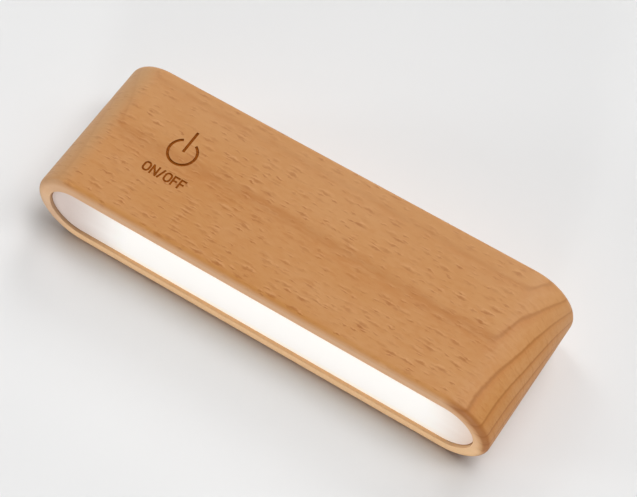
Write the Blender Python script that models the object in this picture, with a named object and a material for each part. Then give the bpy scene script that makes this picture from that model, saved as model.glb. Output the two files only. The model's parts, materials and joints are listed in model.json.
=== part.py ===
"""Wooden reading lamp, built as it would come apart on a bench.

Metres, +Z up. +X runs along the lamp, the lit front faces -Y, and the origin is the middle of the
underside. A beech block is hollowed from its front edge. A carrier with the cell and the boards
slides in from there, then the light strip and its trough, and an opal diffuser closes the opening.
"""

import math

import bmesh
import bpy

# Beech block
BODY_LENGTH = 0.200
BODY_DEPTH = 0.065
BODY_HEIGHT = 0.038
FRONT_EDGE_RADIUS = 0.0025
BACK_EDGE_RADIUS = 0.003
RIM = 0.006
LEDGE = 0.001
CHAMBER_DEPTH = 0.019
BACK_WALL = 0.006
END_WALL = 0.015
BAY_CORNER_RADIUS = 0.003

# Clearances: between faces that rest on each other, and round what slides into a pocket or hole
SEAT_GAP = 0.0003
SLIDE_GAP = 0.0003
OVERRUN = 0.002
OVERLAP = 0.0005

# Touch mark, burnt into the top face
MARK_FROM_END = 0.0439
MARK_FROM_BACK = 0.0292
MARK_STROKE = 0.001
MARK_DEEP = 0.0004
RING_RADIUS = 0.0057
RING_OPEN_ANGLE = math.radians(58)
BAR_RISE = 0.0003
BAR_LENGTH = 0.0103
WORD_DROP = 0.01005
WORD_HEIGHT = 0.0045
WORD_STROKE = 0.00055
LETTER_SPACE = 0.00027
LETTER_O_WIDTH = 0.0033
LETTER_N_WIDTH = 0.0032
SLASH_WIDTH = 0.0022
LETTER_F_WIDTH = 0.0027

# Diffuser
DIFFUSER_RECESS = 0.0012
DIFFUSER_THICK = 0.0025
DIFFUSER_EDGE = 0.0003
SPIGOT_DEPTH = 0.0025
SPIGOT_WALL = 0.0012

# Light strip
STRIP_END = 0.018
STRIP_HEIGHT = 0.0096
STRIP_THICK = 0.0016
LED_PITCH = 0.0106
LED_MARGIN = 0.006
LED_LENGTH = 0.0035
LED_HEIGHT = 0.0028
LED_THICK = 0.0008
LED_EDGE = 0.0002

# Reflector trough
TROUGH_WALL = 0.0015
WINDOW_HEIGHT = 0.005
WINDOW_INSET = 0.002

# Carrier
CARRIER_FLOOR = 0.0014
CARRIER_WALL = 0.0015
CARRIER_WALL_HEIGHT = 0.012
FLANGE_THICK = 0.002
SADDLE_RISE = 0.001
SADDLE_THICK = 0.002
SADDLE_HEIGHT = 0.006
SADDLE_MARGIN = 0.001
SADDLE_SPACING = 0.040
POST_RADIUS = 0.0025
LEAD_SLOT_HEIGHT = 0.0034

# Cell
CELL_DIAMETER = 0.0184
CELL_LENGTH = 0.065
CELL_EDGE = 0.0008
CELL_GROOVE_DEEP = 0.0005
CELL_GROOVE_WIDE = 0.0012
CELL_GROOVE_FROM_END = 0.003
CELL_NUB_RADIUS = 0.003
CELL_NUB_HEIGHT = 0.001
CELL_END_ROOM = 0.004
CELL_HEADROOM = 0.0024
TAB_THICK = 0.0004
TAB_WIDTH = 0.006
TAB_HEIGHT = 0.008
TAB_EAR = 0.0124
PAD_LENGTH = 0.040
PAD_WIDTH = 0.014
PAD_SKIRT = 0.0024

# Screws
WOOD_SCREW_RADIUS = 0.00145
WOOD_SCREW_LENGTH = 0.012
WOOD_SCREW_HEAD_RADIUS = 0.0027
WOOD_SCREW_HEAD_HEIGHT = 0.0018
BOARD_SCREW_RADIUS = 0.001
BOARD_SCREW_LENGTH = 0.006
BOARD_SCREW_HEAD_RADIUS = 0.0019
BOARD_SCREW_HEAD_HEIGHT = 0.0013
SCREW_SLOT_DEEP = 0.0007
SCREW_SLOT_WIDE = 0.0006

# Control board and what is soldered on it
BOARD_LENGTH = 0.050
BOARD_DEPTH = 0.025
BOARD_THICK = 0.0016
BOARD_HOLE_INSET = 0.003
SOCKET_WIDTH = 0.0089
SOCKET_HEIGHT = 0.0032
SOCKET_DEPTH = 0.0073
SOCKET_WALL = 0.0003
SOCKET_BACK = 0.0012
TONGUE_WIDTH = 0.0067
TONGUE_THICK = 0.0007
TONGUE_DEPTH = 0.0046
TONGUE_EDGE = 0.0001
SPRING_WIRE = 0.0006
SPRING_BASE_RADIUS = 0.0028
SPRING_TOP_RADIUS = 0.005
SPRING_TURNS = 5
TOUCH_CHIP_SIZE = (0.003, 0.003, 0.0011)
CHARGE_CHIP_SIZE = (0.005, 0.004, 0.0015)
DRIVER_CHIP_SIZE = (0.003, 0.003, 0.0011)
CHIP_EDGE = 0.0001
PIN_WIDTH = 0.0004
PIN_THICK = 0.0002
PIN_REACH = 0.001
PIN_PITCH = 0.00095
INDUCTOR_SIZE = (0.005, 0.005, 0.003)
CAPACITOR_SIZE = (0.0032, 0.0016, 0.0014)
COMPONENT_EDGE = 0.0003
CHARGE_LIGHT_WIDTH = 0.002
CHARGE_LIGHT_DEPTH = 0.0018
CHARGE_LIGHT_FROM_PORT = 0.0115
LIGHT_PIPE_RADIUS = 0.0012
TOUCH_CHIP_FROM_MARK = 0.010
CHARGE_CHIP_FROM_PORT = (0.0126, 0.0094)
DRIVER_CHIP_FROM_PORT = (0.0074, 0.0124)
INDUCTOR_FROM_PORT = (0.0174, 0.0094)
INPUT_CAPACITOR_FROM_PORT = (0.0076, 0.0034)
OUTPUT_CAPACITOR_FROM_PORT = (0.0154, 0.0029)

# Battery connector and leads
HEADER_LENGTH = 0.0076
HEADER_WIDTH = 0.0079
HEADER_HEIGHT = 0.005
HEADER_WALL = 0.0007
HEADER_BACK = 0.0016
HEADER_FROM_EDGE = 0.007
HEADER_FROM_FRONT = 0.0076
PLUG_LENGTH = 0.0082
LEAD_DIAMETER = 0.0013
LEAD_SPACING = 0.0025
PLUG_LEAD_SPACING = 0.002
LEAD_LIFT = 0.0018
LEAD_BESIDE_CELL = 0.001
STRIP_LEAD_FROM_EDGE = 0.0124
STRIP_LEAD_START = 0.0028

# Hole for the charging plug
PORT_WIDTH = 0.013
PORT_HEIGHT = 0.0072
BEZEL_WALL = 0.0012
BEZEL_EDGE = 0.0004

# Magnets in the underside
MAGNET_RADIUS = 0.006
MAGNET_THICK = 0.0025
MAGNET_EDGE = 0.0002
MAGNET_FROM_END = 0.038

# Mesh counts
END_STEPS = 20
SMALL_STEPS = 8
EDGE_STEPS = 4
ROUND_SIDES = 24
SMALL_SIDES = 16
ARC_STEPS = 32
LEAD_RESOLUTION = 1
SPRING_POINTS = 12
SHARP_ANGLE = math.radians(35)
MERGE = 0.000001

# Places that follow from the sizes
MID = BODY_HEIGHT / 2
LEFT = -BODY_LENGTH / 2
FRONT = -BODY_DEPTH / 2
BACK = BODY_DEPTH / 2
OPENING = (BODY_LENGTH - 2 * RIM, BODY_HEIGHT - 2 * RIM)
CHAMBER = (OPENING[0] - 2 * LEDGE, OPENING[1] - 2 * LEDGE)
DIFFUSER_FRONT = FRONT + DIFFUSER_RECESS
DIFFUSER_BACK = DIFFUSER_FRONT + DIFFUSER_THICK
LEDGE_FACE = DIFFUSER_BACK + SEAT_GAP
SHOULDER = FRONT + CHAMBER_DEPTH
INNER = (CHAMBER[0] - 2 * SLIDE_GAP, CHAMBER[1] - 2 * SLIDE_GAP)
FLANGE_BACK = SHOULDER - SEAT_GAP
FLANGE_FRONT = FLANGE_BACK - FLANGE_THICK
STRIP_LENGTH = CHAMBER[0] - 2 * STRIP_END
LED_COUNT = int((STRIP_LENGTH - 2 * LED_MARGIN) / LED_PITCH) + 1
STRIP_BACK = FLANGE_FRONT - SEAT_GAP
STRIP_FRONT = STRIP_BACK - STRIP_THICK
LED_BACK = STRIP_FRONT - SEAT_GAP
TROUGH_FRONT = DIFFUSER_BACK + SPIGOT_DEPTH + SEAT_GAP
BAY_LENGTH = BODY_LENGTH - 2 * END_WALL
BAY_HEIGHT = SEAT_GAP + CARRIER_FLOOR + SADDLE_RISE + CELL_DIAMETER + CELL_HEADROOM
BAY_BACK = BACK - BACK_WALL
BAY_FLOOR = MID - BAY_HEIGHT / 2
BAY_ROOF = MID + BAY_HEIGHT / 2
CARRIER_LENGTH = BAY_LENGTH - 2 * SLIDE_GAP
CARRIER_BOTTOM = BAY_FLOOR + SEAT_GAP
CARRIER_DECK = CARRIER_BOTTOM + CARRIER_FLOOR
CARRIER_BACK = BAY_BACK - SEAT_GAP
CARRIER_INNER_BACK = CARRIER_BACK - CARRIER_WALL
CARRIER_INNER_RIGHT = CARRIER_LENGTH / 2 - CARRIER_WALL
BOARD_TOP = MID - SOCKET_HEIGHT / 2 - SEAT_GAP
ABOVE_BOARD = BOARD_TOP + SEAT_GAP
BOARD_LEFT = -CARRIER_INNER_RIGHT + SLIDE_GAP
BOARD_RIGHT = BOARD_LEFT + BOARD_LENGTH
BOARD_BACK = CARRIER_INNER_BACK - SLIDE_GAP
BOARD_FRONT = BOARD_BACK - BOARD_DEPTH
PORT_X = BOARD_LEFT + BOARD_LENGTH / 2
MARK_X = LEFT + MARK_FROM_END
MARK_Y = BACK - MARK_FROM_BACK
CELL_RADIUS = CELL_DIAMETER / 2
CELL_RIGHT = CARRIER_INNER_RIGHT - CELL_END_ROOM
CELL_LEFT = CELL_RIGHT - CELL_LENGTH
CELL_X = (CELL_LEFT + CELL_RIGHT) / 2
CELL_Y = (FLANGE_BACK + CARRIER_INNER_BACK) / 2
CELL_Z = CARRIER_DECK + SADDLE_RISE + CELL_RADIUS
HEADER_RIGHT = BOARD_RIGHT - HEADER_FROM_EDGE
HEADER_LEFT = HEADER_RIGHT - HEADER_LENGTH
HEADER_Y = BOARD_FRONT + HEADER_FROM_FRONT
PLUG_Z = ABOVE_BOARD + HEADER_HEIGHT / 2
STRIP_LEAD_X = BOARD_RIGHT - STRIP_LEAD_FROM_EDGE
LEAD_Z = CARRIER_BOTTOM + CARRIER_WALL_HEIGHT + LEAD_LIFT
SCREW_X = (CHAMBER[0] + BAY_LENGTH) / 4
PIPE_X = PORT_X + CHARGE_LIGHT_FROM_PORT


def material(name, colour, roughness, metallic=0.0):
    """A plain Principled material."""
    made = bpy.data.materials.new(name)
    made.use_nodes = True
    shader = made.node_tree.nodes["Principled BSDF"]
    shader.inputs["Base Color"].default_value = (*colour, 1.0)
    shader.inputs["Roughness"].default_value = roughness
    shader.inputs["Metallic"].default_value = metallic
    made.diffuse_color = (*colour, 1.0)
    return made


def finish(name, bm, look, place=(0, 0, 0), turn=(0, 0, 0)):
    """Make a bmesh a smooth-shaded object that hangs from the lamp's empty."""
    bmesh.ops.remove_doubles(bm, verts=bm.verts, dist=MERGE)
    bmesh.ops.recalc_face_normals(bm, faces=bm.faces)
    mesh = bpy.data.meshes.new(name)
    bm.to_mesh(mesh)
    bm.free()
    mesh.shade_smooth()
    mesh.set_sharp_from_angle(angle=SHARP_ANGLE)
    made = bpy.data.objects.new(name, mesh)
    bpy.context.collection.objects.link(made)
    made.parent = bpy.data.objects["lamp"]
    made.location = place
    made.rotation_euler = turn
    if look:
        mesh.materials.append(look)
    return made


def as_tool(piece):
    """Keep a shape that only cuts or fills another out of the model."""
    piece.hide_render = True
    piece.display_type = "WIRE"
    return piece


def combine(piece, tool, operation):
    """Cut a tool from a piece, or join it on."""
    change = piece.modifiers.new(tool.name, "BOOLEAN")
    change.operation = operation
    change.solver = "EXACT"
    change.object = as_tool(tool)


def arc(radius, start, end, steps, centre=(0, 0)):
    """Points of a circular arc, both ends included."""
    angles = [start + (end - start) * i / steps for i in range(steps + 1)]
    return [(centre[0] + radius * math.cos(a), centre[1] + radius * math.sin(a)) for a in angles]


def stadium(size, steps=END_STEPS):
    """Outline of a strip with half-round ends, anticlockwise."""
    radius = size[1] / 2
    reach = size[0] / 2 - radius
    quarter = math.pi / 2
    right = arc(radius, -quarter, quarter, steps, (reach, 0))
    left = arc(radius, quarter, 3 * quarter, steps, (-reach, 0))
    return right + left


def rounded(size, radius, steps):
    """Outline of a rectangle with rounded corners, anticlockwise."""
    x, y = size[0] / 2 - radius, size[1] / 2 - radius
    quarter = math.pi / 2
    corners = ((x, -y), (x, y), (-x, y), (-x, -y))
    points = []
    for turn, corner in enumerate(corners, start=-1):
        points += arc(radius, turn * quarter, (turn + 1) * quarter, steps, corner)
    return points


def shrunk(size, inset):
    """A length and height less the same inset all round."""
    return (size[0] - 2 * inset, size[1] - 2 * inset)


def upright(outline, y):
    """An outline of (x, z) points as a loop standing at y."""
    return [(x, y, z) for x, z in outline]


def level(outline, z, centre=(0, 0)):
    """An outline of (x, y) points as a loop lying at z."""
    return [(centre[0] + x, centre[1] + y, z) for x, y in outline]


def loft(bm, loops, ring=False):
    """Skin neighbouring loops. A ring joins the last loop to the first, otherwise both ends are capped."""
    rows = [[bm.verts.new(point) for point in loop] for loop in loops]
    pairs = list(zip(rows, rows[1:]))
    if ring:
        pairs.append((rows[-1], rows[0]))
    else:
        bm.faces.new(rows[0])
        bm.faces.new(rows[-1])
    for low, high in pairs:
        for i in range(len(low)):
            j = (i + 1) % len(low)
            bm.faces.new((low[i], low[j], high[j], high[i]))
    return bm


def box_mesh(low, high):
    """A box between two corners."""
    outline = [(low[0], low[1]), (high[0], low[1]), (high[0], high[1]), (low[0], high[1])]
    return loft(bmesh.new(), [level(outline, low[2]), level(outline, high[2])])


def block(name, size, look, place, edge):
    """A box that stands on its place, with its edges eased."""
    x, y = size[0] / 2, size[1] / 2
    made = finish(name, box_mesh((-x, -y, 0), (x, y, size[2])), look, place)
    ease = made.modifiers.new("edges", "BEVEL")
    ease.width = edge
    ease.segments = 1
    return made


def turned(profile, sides):
    """A solid of revolution about +Z, from (radius, height) points that start and end on the axis."""
    bm = bmesh.new()
    rows = [bm.verts.new((radius, 0, height)) for radius, height in profile]
    edges = [bm.edges.new(pair) for pair in zip(rows, rows[1:])]
    bmesh.ops.spin(
        bm,
        geom=rows + edges,
        cent=(0, 0, 0),
        axis=(0, 0, 1),
        angle=2 * math.pi,
        steps=sides,
        use_merge=True,
    )
    return bm


def rod(radius, height, edge=0.0):
    """Profile of a plain rod from zero up, with chamfered ends where an edge is given."""
    if not edge:
        return [(0, 0), (radius, 0), (radius, height), (0, height)]
    return [
        (0, 0),
        (radius - edge, 0),
        (radius, edge),
        (radius, height - edge),
        (radius - edge, height),
        (0, height),
    ]


ALONG_X = (0, math.pi / 2, 0)
ALONG_Y = (-math.pi / 2, 0, 0)


def smooth_route(points, spacing):
    """Points at about the spacing along a smooth curve through the route's own points."""
    ends = [points[0]] + list(points) + [points[-1]]
    route = []
    for a, b, c, d in zip(ends, ends[1:], ends[2:], ends[3:]):
        steps = max(1, round(math.dist(b, c) / spacing))
        for i in range(steps):
            t = i / steps
            route.append(
                tuple(
                    (
                        2 * q
                        + (r - p) * t
                        + (2 * p - 5 * q + 4 * r - s) * t**2
                        + (3 * q - p - 3 * r + s) * t**3
                    )
                    / 2
                    for p, q, r, s in zip(a, b, c, d)
                )
            )
    return route + [tuple(points[-1])]


def wire(name, points, diameter, look):
    """A round wire along points, with closed ends."""
    curve = bpy.data.curves.new(name, "CURVE")
    curve.dimensions = "3D"
    curve.bevel_depth = diameter / 2
    curve.bevel_resolution = LEAD_RESOLUTION
    curve.use_fill_caps = True
    spline = curve.splines.new("POLY")
    spline.points.add(len(points) - 1)
    for knot, point in zip(spline.points, points):
        knot.co = (*point, 1)
    curve.materials.append(look)
    made = bpy.data.objects.new(name, curve)
    bpy.context.collection.objects.link(made)
    made.parent = bpy.data.objects["lamp"]
    return made


def body_sections():
    """The beech block's loops, from the shoulder in the opening, over the rim, to the back face."""
    whole = (BODY_LENGTH, BODY_HEIGHT)
    sections = [
        (RIM + LEDGE, SHOULDER),
        (RIM + LEDGE, LEDGE_FACE),
        (RIM, LEDGE_FACE),
        (RIM, FRONT),
    ]
    for i in range(EDGE_STEPS + 1):
        turn = math.pi / 2 * i / EDGE_STEPS
        inset = FRONT_EDGE_RADIUS * (1 - math.sin(turn))
        sections.append((inset, FRONT + FRONT_EDGE_RADIUS * (1 - math.cos(turn))))
    for i in range(EDGE_STEPS + 1):
        turn = math.pi / 2 * i / EDGE_STEPS
        inset = BACK_EDGE_RADIUS * (1 - math.cos(turn))
        sections.append((inset, BACK - BACK_EDGE_RADIUS * (1 - math.sin(turn))))
    return [upright(stadium(shrunk(whole, inset)), y) for inset, y in sections]


def letter_outlines():
    """The letters of ON/OFF as (left edge, kind, outlines), in the word's own sizes."""
    w, h = WORD_STROKE, WORD_HEIGHT
    n, s, f = LETTER_N_WIDTH, SLASH_WIDTH, LETTER_F_WIDTH
    mid_share = 0.5
    arm_share = 0.85
    lean_share = 1.3
    lean = w * lean_share
    letter_n = [
        (0, 0),
        (w, 0),
        (w, h - 2 * lean),
        (n - w, 0),
        (n, 0),
        (n, h),
        (n - w, h),
        (n - w, 2 * lean),
        (w, h),
        (0, h),
    ]
    slash = [(0, 0), (w, 0), (s, h), (s - w, h)]
    arm = h * mid_share
    letter_f = [
        (0, 0),
        (w, 0),
        (w, arm - w / 2),
        (f * arm_share, arm - w / 2),
        (f * arm_share, arm + w / 2),
        (w, arm + w / 2),
        (w, h - w),
        (f, h - w),
        (f, h),
        (0, h),
    ]
    word = (
        (LETTER_O_WIDTH, None),
        (n, letter_n),
        (s, slash),
        (LETTER_O_WIDTH, None),
        (f, letter_f),
        (f, letter_f),
    )
    width = sum(part[0] for part in word) + LETTER_SPACE * (len(word) - 1)
    left = -width / 2
    placed = []
    for step, outline in word:
        placed.append((left, outline))
        left += step + LETTER_SPACE
    return placed


def mark_cutter():
    """The power ring, its bar and the word under it, as one set of closed prisms."""
    bm = bmesh.new()
    low, high = BODY_HEIGHT - MARK_DEEP, BODY_HEIGHT + OVERRUN
    centre = (MARK_X, MARK_Y)
    opening = RING_OPEN_ANGLE / 2
    start, end = math.pi / 2 + opening, 5 * math.pi / 2 - opening
    outer = arc(RING_RADIUS + MARK_STROKE / 2, start, end, ARC_STEPS)
    inner = arc(RING_RADIUS - MARK_STROKE / 2, end, start, ARC_STEPS)
    loft(bm, [level(outer + inner, z, centre) for z in (low, high)])
    half = MARK_STROKE / 2
    top = BAR_RISE + BAR_LENGTH
    bar = [(-half, BAR_RISE), (half, BAR_RISE), (half, top), (-half, top)]
    loft(bm, [level(bar, z, centre) for z in (low, high)])
    base = MARK_Y - WORD_DROP - WORD_HEIGHT
    for left, outline in letter_outlines():
        if outline:
            loft(bm, [level(outline, z, (MARK_X + left, base)) for z in (low, high)])
            continue
        whole = (LETTER_O_WIDTH, WORD_HEIGHT)
        place = (MARK_X + left + LETTER_O_WIDTH / 2, base + WORD_HEIGHT / 2)
        outside = rounded(whole, LETTER_O_WIDTH / 2 - WORD_STROKE / 2, EDGE_STEPS)
        inside = rounded(shrunk(whole, WORD_STROKE), LETTER_O_WIDTH / 2 - WORD_STROKE * 3 / 2, EDGE_STEPS)
        loops = [level(outside, low, place), level(outside, high, place)]
        loops += [level(inside, high, place), level(inside, low, place)]
        loft(bm, loops, ring=True)
    return finish("mark_cutter", bm, None)


def build_body(look):
    """The beech block with its opening, bay, plug hole, screw holes, magnet holes and mark."""
    body = finish("wood_body", loft(bmesh.new(), body_sections()), look, (0, 0, MID))
    bay = rounded((BAY_LENGTH, BAY_HEIGHT), BAY_CORNER_RADIUS, EDGE_STEPS)
    loops = [upright(bay, y) for y in (SHOULDER - OVERRUN, BAY_BACK)]
    combine(body, finish("bay_cutter", loft(bmesh.new(), loops), None, (0, 0, MID)), "DIFFERENCE")
    hole = (PORT_WIDTH + 2 * (BEZEL_WALL + SLIDE_GAP), PORT_HEIGHT + 2 * (BEZEL_WALL + SLIDE_GAP))
    loops = [upright(stadium(hole, SMALL_STEPS), y) for y in (BAY_BACK - OVERRUN, BACK + OVERRUN)]
    combine(body, finish("port_cutter", loft(bmesh.new(), loops), None, (PORT_X, 0, MID)), "DIFFERENCE")
    through = rod(LIGHT_PIPE_RADIUS + SLIDE_GAP, BACK_WALL + 2 * OVERRUN)
    place = (PIPE_X, BAY_BACK - OVERRUN, MID)
    combine(body, finish("pipe_cutter", turned(through, SMALL_SIDES), None, place, ALONG_Y), "DIFFERENCE")
    for side in (-1, 1):
        pilot = rod(WOOD_SCREW_RADIUS + SLIDE_GAP, WOOD_SCREW_LENGTH + OVERRUN)
        place = (side * SCREW_X, SHOULDER - OVERRUN, MID)
        tool = finish("pilot_cutter", turned(pilot, SMALL_SIDES), None, place, ALONG_Y)
        combine(body, tool, "DIFFERENCE")
        seat = rod(MAGNET_RADIUS + SLIDE_GAP, MAGNET_THICK + SEAT_GAP + OVERRUN)
        place = (side * (BODY_LENGTH / 2 - MAGNET_FROM_END), 0, -OVERRUN)
        combine(body, finish("magnet_cutter", turned(seat, ROUND_SIDES), None, place), "DIFFERENCE")
    combine(body, mark_cutter(), "DIFFERENCE")
    return body


def build_diffuser(look):
    """The opal plate, with a spigot behind it that enters the chamber."""
    plate = shrunk(OPENING, SLIDE_GAP)
    spigot = INNER
    hollow = shrunk(spigot, SPIGOT_WALL)
    tip = DIFFUSER_BACK + SPIGOT_DEPTH
    sections = (
        (shrunk(plate, DIFFUSER_EDGE), DIFFUSER_FRONT),
        (plate, DIFFUSER_FRONT + DIFFUSER_EDGE),
        (plate, DIFFUSER_BACK),
        (spigot, DIFFUSER_BACK),
        (spigot, tip),
        (hollow, tip),
        (hollow, DIFFUSER_BACK),
    )
    loops = [upright(stadium(size), y) for size, y in sections]
    return finish("diffuser", loft(bmesh.new(), loops), look, (0, 0, MID))


def build_trough(look):
    """The flared white trough that spreads the strip's light over the diffuser."""
    strip = (STRIP_LENGTH, STRIP_HEIGHT)
    rebate = (strip[0] + 2 * SLIDE_GAP, strip[1] + 2 * SLIDE_GAP)
    frame = shrunk(rebate, -TROUGH_WALL)
    window = (STRIP_LENGTH - 2 * WINDOW_INSET, WINDOW_HEIGHT)
    mouth = shrunk(INNER, TROUGH_WALL)
    window_front = LED_BACK - TROUGH_WALL
    sections = (
        (mouth, TROUGH_FRONT),
        (window, window_front),
        (window, LED_BACK),
        (rebate, LED_BACK),
        (rebate, STRIP_BACK),
        (frame, STRIP_BACK),
        (frame, LED_BACK),
        (INNER, TROUGH_FRONT + TROUGH_WALL),
        (INNER, TROUGH_FRONT),
    )
    loops = [upright(stadium(size), y) for size, y in sections]
    return finish("reflector_tray", loft(bmesh.new(), loops, ring=True), look, (0, 0, MID))


def build_strip(board_look, chip_look):
    """The light strip's board, with its row of chips."""
    outline = stadium((STRIP_LENGTH, STRIP_HEIGHT), SMALL_STEPS)
    loops = [upright(outline, y) for y in (STRIP_FRONT, STRIP_BACK)]
    finish("led_board", loft(bmesh.new(), loops), board_look, (0, 0, MID))
    for i in range(LED_COUNT):
        x = (i - (LED_COUNT - 1) / 2) * LED_PITCH
        chip = rounded((LED_LENGTH, LED_HEIGHT), LED_EDGE, 1)
        loops = [upright(chip, y) for y in (-LED_THICK, 0)]
        finish(f"led_{i + 1:02d}", loft(bmesh.new(), loops), chip_look, (x, LED_BACK, MID))


def post_places():
    """The four corners where the control board stands on posts."""
    xs = (BOARD_LEFT + BOARD_HOLE_INSET, BOARD_RIGHT - BOARD_HOLE_INSET)
    ys = (BOARD_FRONT + BOARD_HOLE_INSET, BOARD_BACK - BOARD_HOLE_INSET)
    return [(x, y) for x in xs for y in ys]


def screwed_places():
    """The two of those corners that have a screw: front left and back right."""
    places = post_places()
    return {"front": places[0], "back": places[-1]}


def post_profile(screwed):
    """Profile of a post that stands in the tray's floor, with a blind bore where it takes a screw."""
    foot = CARRIER_DECK - OVERLAP
    height = BOARD_TOP - BOARD_THICK - SEAT_GAP - foot
    if not screwed:
        return rod(POST_RADIUS, height)
    bore = BOARD_SCREW_RADIUS + SLIDE_GAP
    floor = ABOVE_BOARD - BOARD_SCREW_LENGTH - OVERLAP - foot
    return [(0, 0), (POST_RADIUS, 0), (POST_RADIUS, height), (bore, height), (bore, floor), (0, floor)]


def build_tray(wall_top):
    """The tray behind the flange: a rounded block opened from above, with a stop beside the cell."""
    front = FLANGE_BACK - OVERLAP
    outline = rounded(
        (CARRIER_LENGTH, BAY_HEIGHT - 2 * SEAT_GAP), BAY_CORNER_RADIUS - SLIDE_GAP, EDGE_STEPS
    )
    loops = [upright(outline, y) for y in (front, CARRIER_BACK)]
    tray = finish("tray", loft(bmesh.new(), loops), None, (0, 0, MID))
    half = CARRIER_LENGTH / 2 + OVERRUN
    open_front = front - OVERRUN
    above = ((-half, open_front, wall_top), (half, CARRIER_BACK + OVERRUN, BAY_ROOF + OVERRUN))
    stop = CELL_LEFT - CELL_END_ROOM
    top = wall_top + OVERRUN
    board_bay = (
        (-CARRIER_INNER_RIGHT, open_front, CARRIER_DECK),
        (stop - CARRIER_WALL, CARRIER_INNER_BACK, top),
    )
    cell_bay = ((stop, open_front, CARRIER_DECK), (CARRIER_INNER_RIGHT, CARRIER_INNER_BACK, top))
    for low, high in (above, board_bay, cell_bay):
        combine(tray, finish("bay_cutter", box_mesh(low, high), None), "DIFFERENCE")
    return tray


def build_carrier(look):
    """The chassis: a flange across the chamber and a tray behind it for the board and the cell."""
    loops = [upright(stadium(INNER), y) for y in (FLANGE_FRONT, FLANGE_BACK)]
    carrier = finish("carrier", loft(bmesh.new(), loops), look, (0, 0, MID))
    wall_top = CARRIER_BOTTOM + CARRIER_WALL_HEIGHT
    combine(carrier, build_tray(wall_top), "UNION")
    reach = CELL_RADIUS + SADDLE_MARGIN
    for side in (-1, 1):
        x = CELL_X + side * SADDLE_SPACING / 2
        low = (x - SADDLE_THICK / 2, CELL_Y - reach, CARRIER_DECK - OVERLAP)
        high = (x + SADDLE_THICK / 2, CELL_Y + reach, CARRIER_DECK + SADDLE_HEIGHT)
        combine(carrier, finish("saddle", box_mesh(low, high), None), "UNION")
    screwed = screwed_places().values()
    for x, y in post_places():
        profile = post_profile((x, y) in screwed)
        post = finish("post", turned(profile, SMALL_SIDES), None, (x, y, CARRIER_DECK - OVERLAP))
        combine(carrier, post, "UNION")
    cradle = rod(CELL_RADIUS + SEAT_GAP, CELL_LENGTH)
    tool = finish("cradle_cutter", turned(cradle, ROUND_SIDES), None, (CELL_LEFT, CELL_Y, CELL_Z), ALONG_X)
    combine(carrier, tool, "DIFFERENCE")
    for side in (-1, 1):
        hole = rod(WOOD_SCREW_RADIUS + SLIDE_GAP, FLANGE_THICK + 2 * OVERRUN)
        place = (side * SCREW_X, FLANGE_FRONT - OVERRUN, MID)
        tool = finish("flange_cutter", turned(hole, SMALL_SIDES), None, place, ALONG_Y)
        combine(carrier, tool, "DIFFERENCE")
    slot = (LEAD_SPACING + LEAD_SLOT_HEIGHT, LEAD_SLOT_HEIGHT)
    ends = (FLANGE_FRONT - OVERRUN, FLANGE_BACK + OVERRUN)
    loops = [upright(stadium(slot, SMALL_STEPS), y) for y in ends]
    tool = finish("lead_cutter", loft(bmesh.new(), loops), None, (STRIP_LEAD_X, 0, lead_height()))
    combine(carrier, tool, "DIFFERENCE")
    for x, width, height in (
        (PORT_X, SOCKET_WIDTH, SOCKET_HEIGHT),
        (PIPE_X, 2 * LIGHT_PIPE_RADIUS, 2 * LIGHT_PIPE_RADIUS),
    ):
        reach = width / 2 + SLIDE_GAP
        low = (x - reach, CARRIER_INNER_BACK - OVERLAP, MID - height / 2 - SLIDE_GAP)
        high = (x + reach, CARRIER_BACK + OVERLAP, wall_top + OVERRUN)
        combine(carrier, finish("notch_cutter", box_mesh(low, high), None), "DIFFERENCE")
    return carrier


def lead_height():
    """Height of the middle of a lead that lies on the control board."""
    return ABOVE_BOARD + LEAD_DIAMETER / 2


def screw(name, radius, length, head_radius, head_height, look, place, turn):
    """A pan-head screw with a cross recess. Its head's underside is at its place and it points along -Z."""
    tip = radius / 2
    profile = [
        (0, -length),
        (tip, -length),
        (radius, -length + radius),
        (radius, 0),
        (head_radius, 0),
        (head_radius, head_height / 2),
        (head_radius * math.cos(math.pi / 6), head_height),
        (0, head_height),
    ]
    made = finish(name, turned(profile, SMALL_SIDES), look, place, turn)
    arm, half = head_radius * 2 / 3, SCREW_SLOT_WIDE / 2
    cross = [(arm, half), (half, half), (half, arm), (-half, arm), (-half, half), (-arm, half)]
    cross += [(-x, -y) for x, y in cross]
    loops = [level(cross, z) for z in (head_height - SCREW_SLOT_DEEP, head_height + OVERRUN)]
    tool = finish(f"{name}_recess", loft(bmesh.new(), loops), None, place, turn)
    combine(made, tool, "DIFFERENCE")
    return made


def build_screws(look):
    """The carrier's two wood screws and the control board's two small screws."""
    towards_front = (math.pi / 2, 0, 0)
    for name, side in (("left", -1), ("right", 1)):
        screw(
            f"carrier_screw_{name}",
            WOOD_SCREW_RADIUS,
            WOOD_SCREW_LENGTH,
            WOOD_SCREW_HEAD_RADIUS,
            WOOD_SCREW_HEAD_HEIGHT,
            look,
            (side * SCREW_X, FLANGE_FRONT - SEAT_GAP, MID),
            towards_front,
        )
    for name, (x, y) in screwed_places().items():
        screw(
            f"board_screw_{name}",
            BOARD_SCREW_RADIUS,
            BOARD_SCREW_LENGTH,
            BOARD_SCREW_HEAD_RADIUS,
            BOARD_SCREW_HEAD_HEIGHT,
            look,
            (x, y, ABOVE_BOARD),
            (0, 0, 0),
        )


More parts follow.
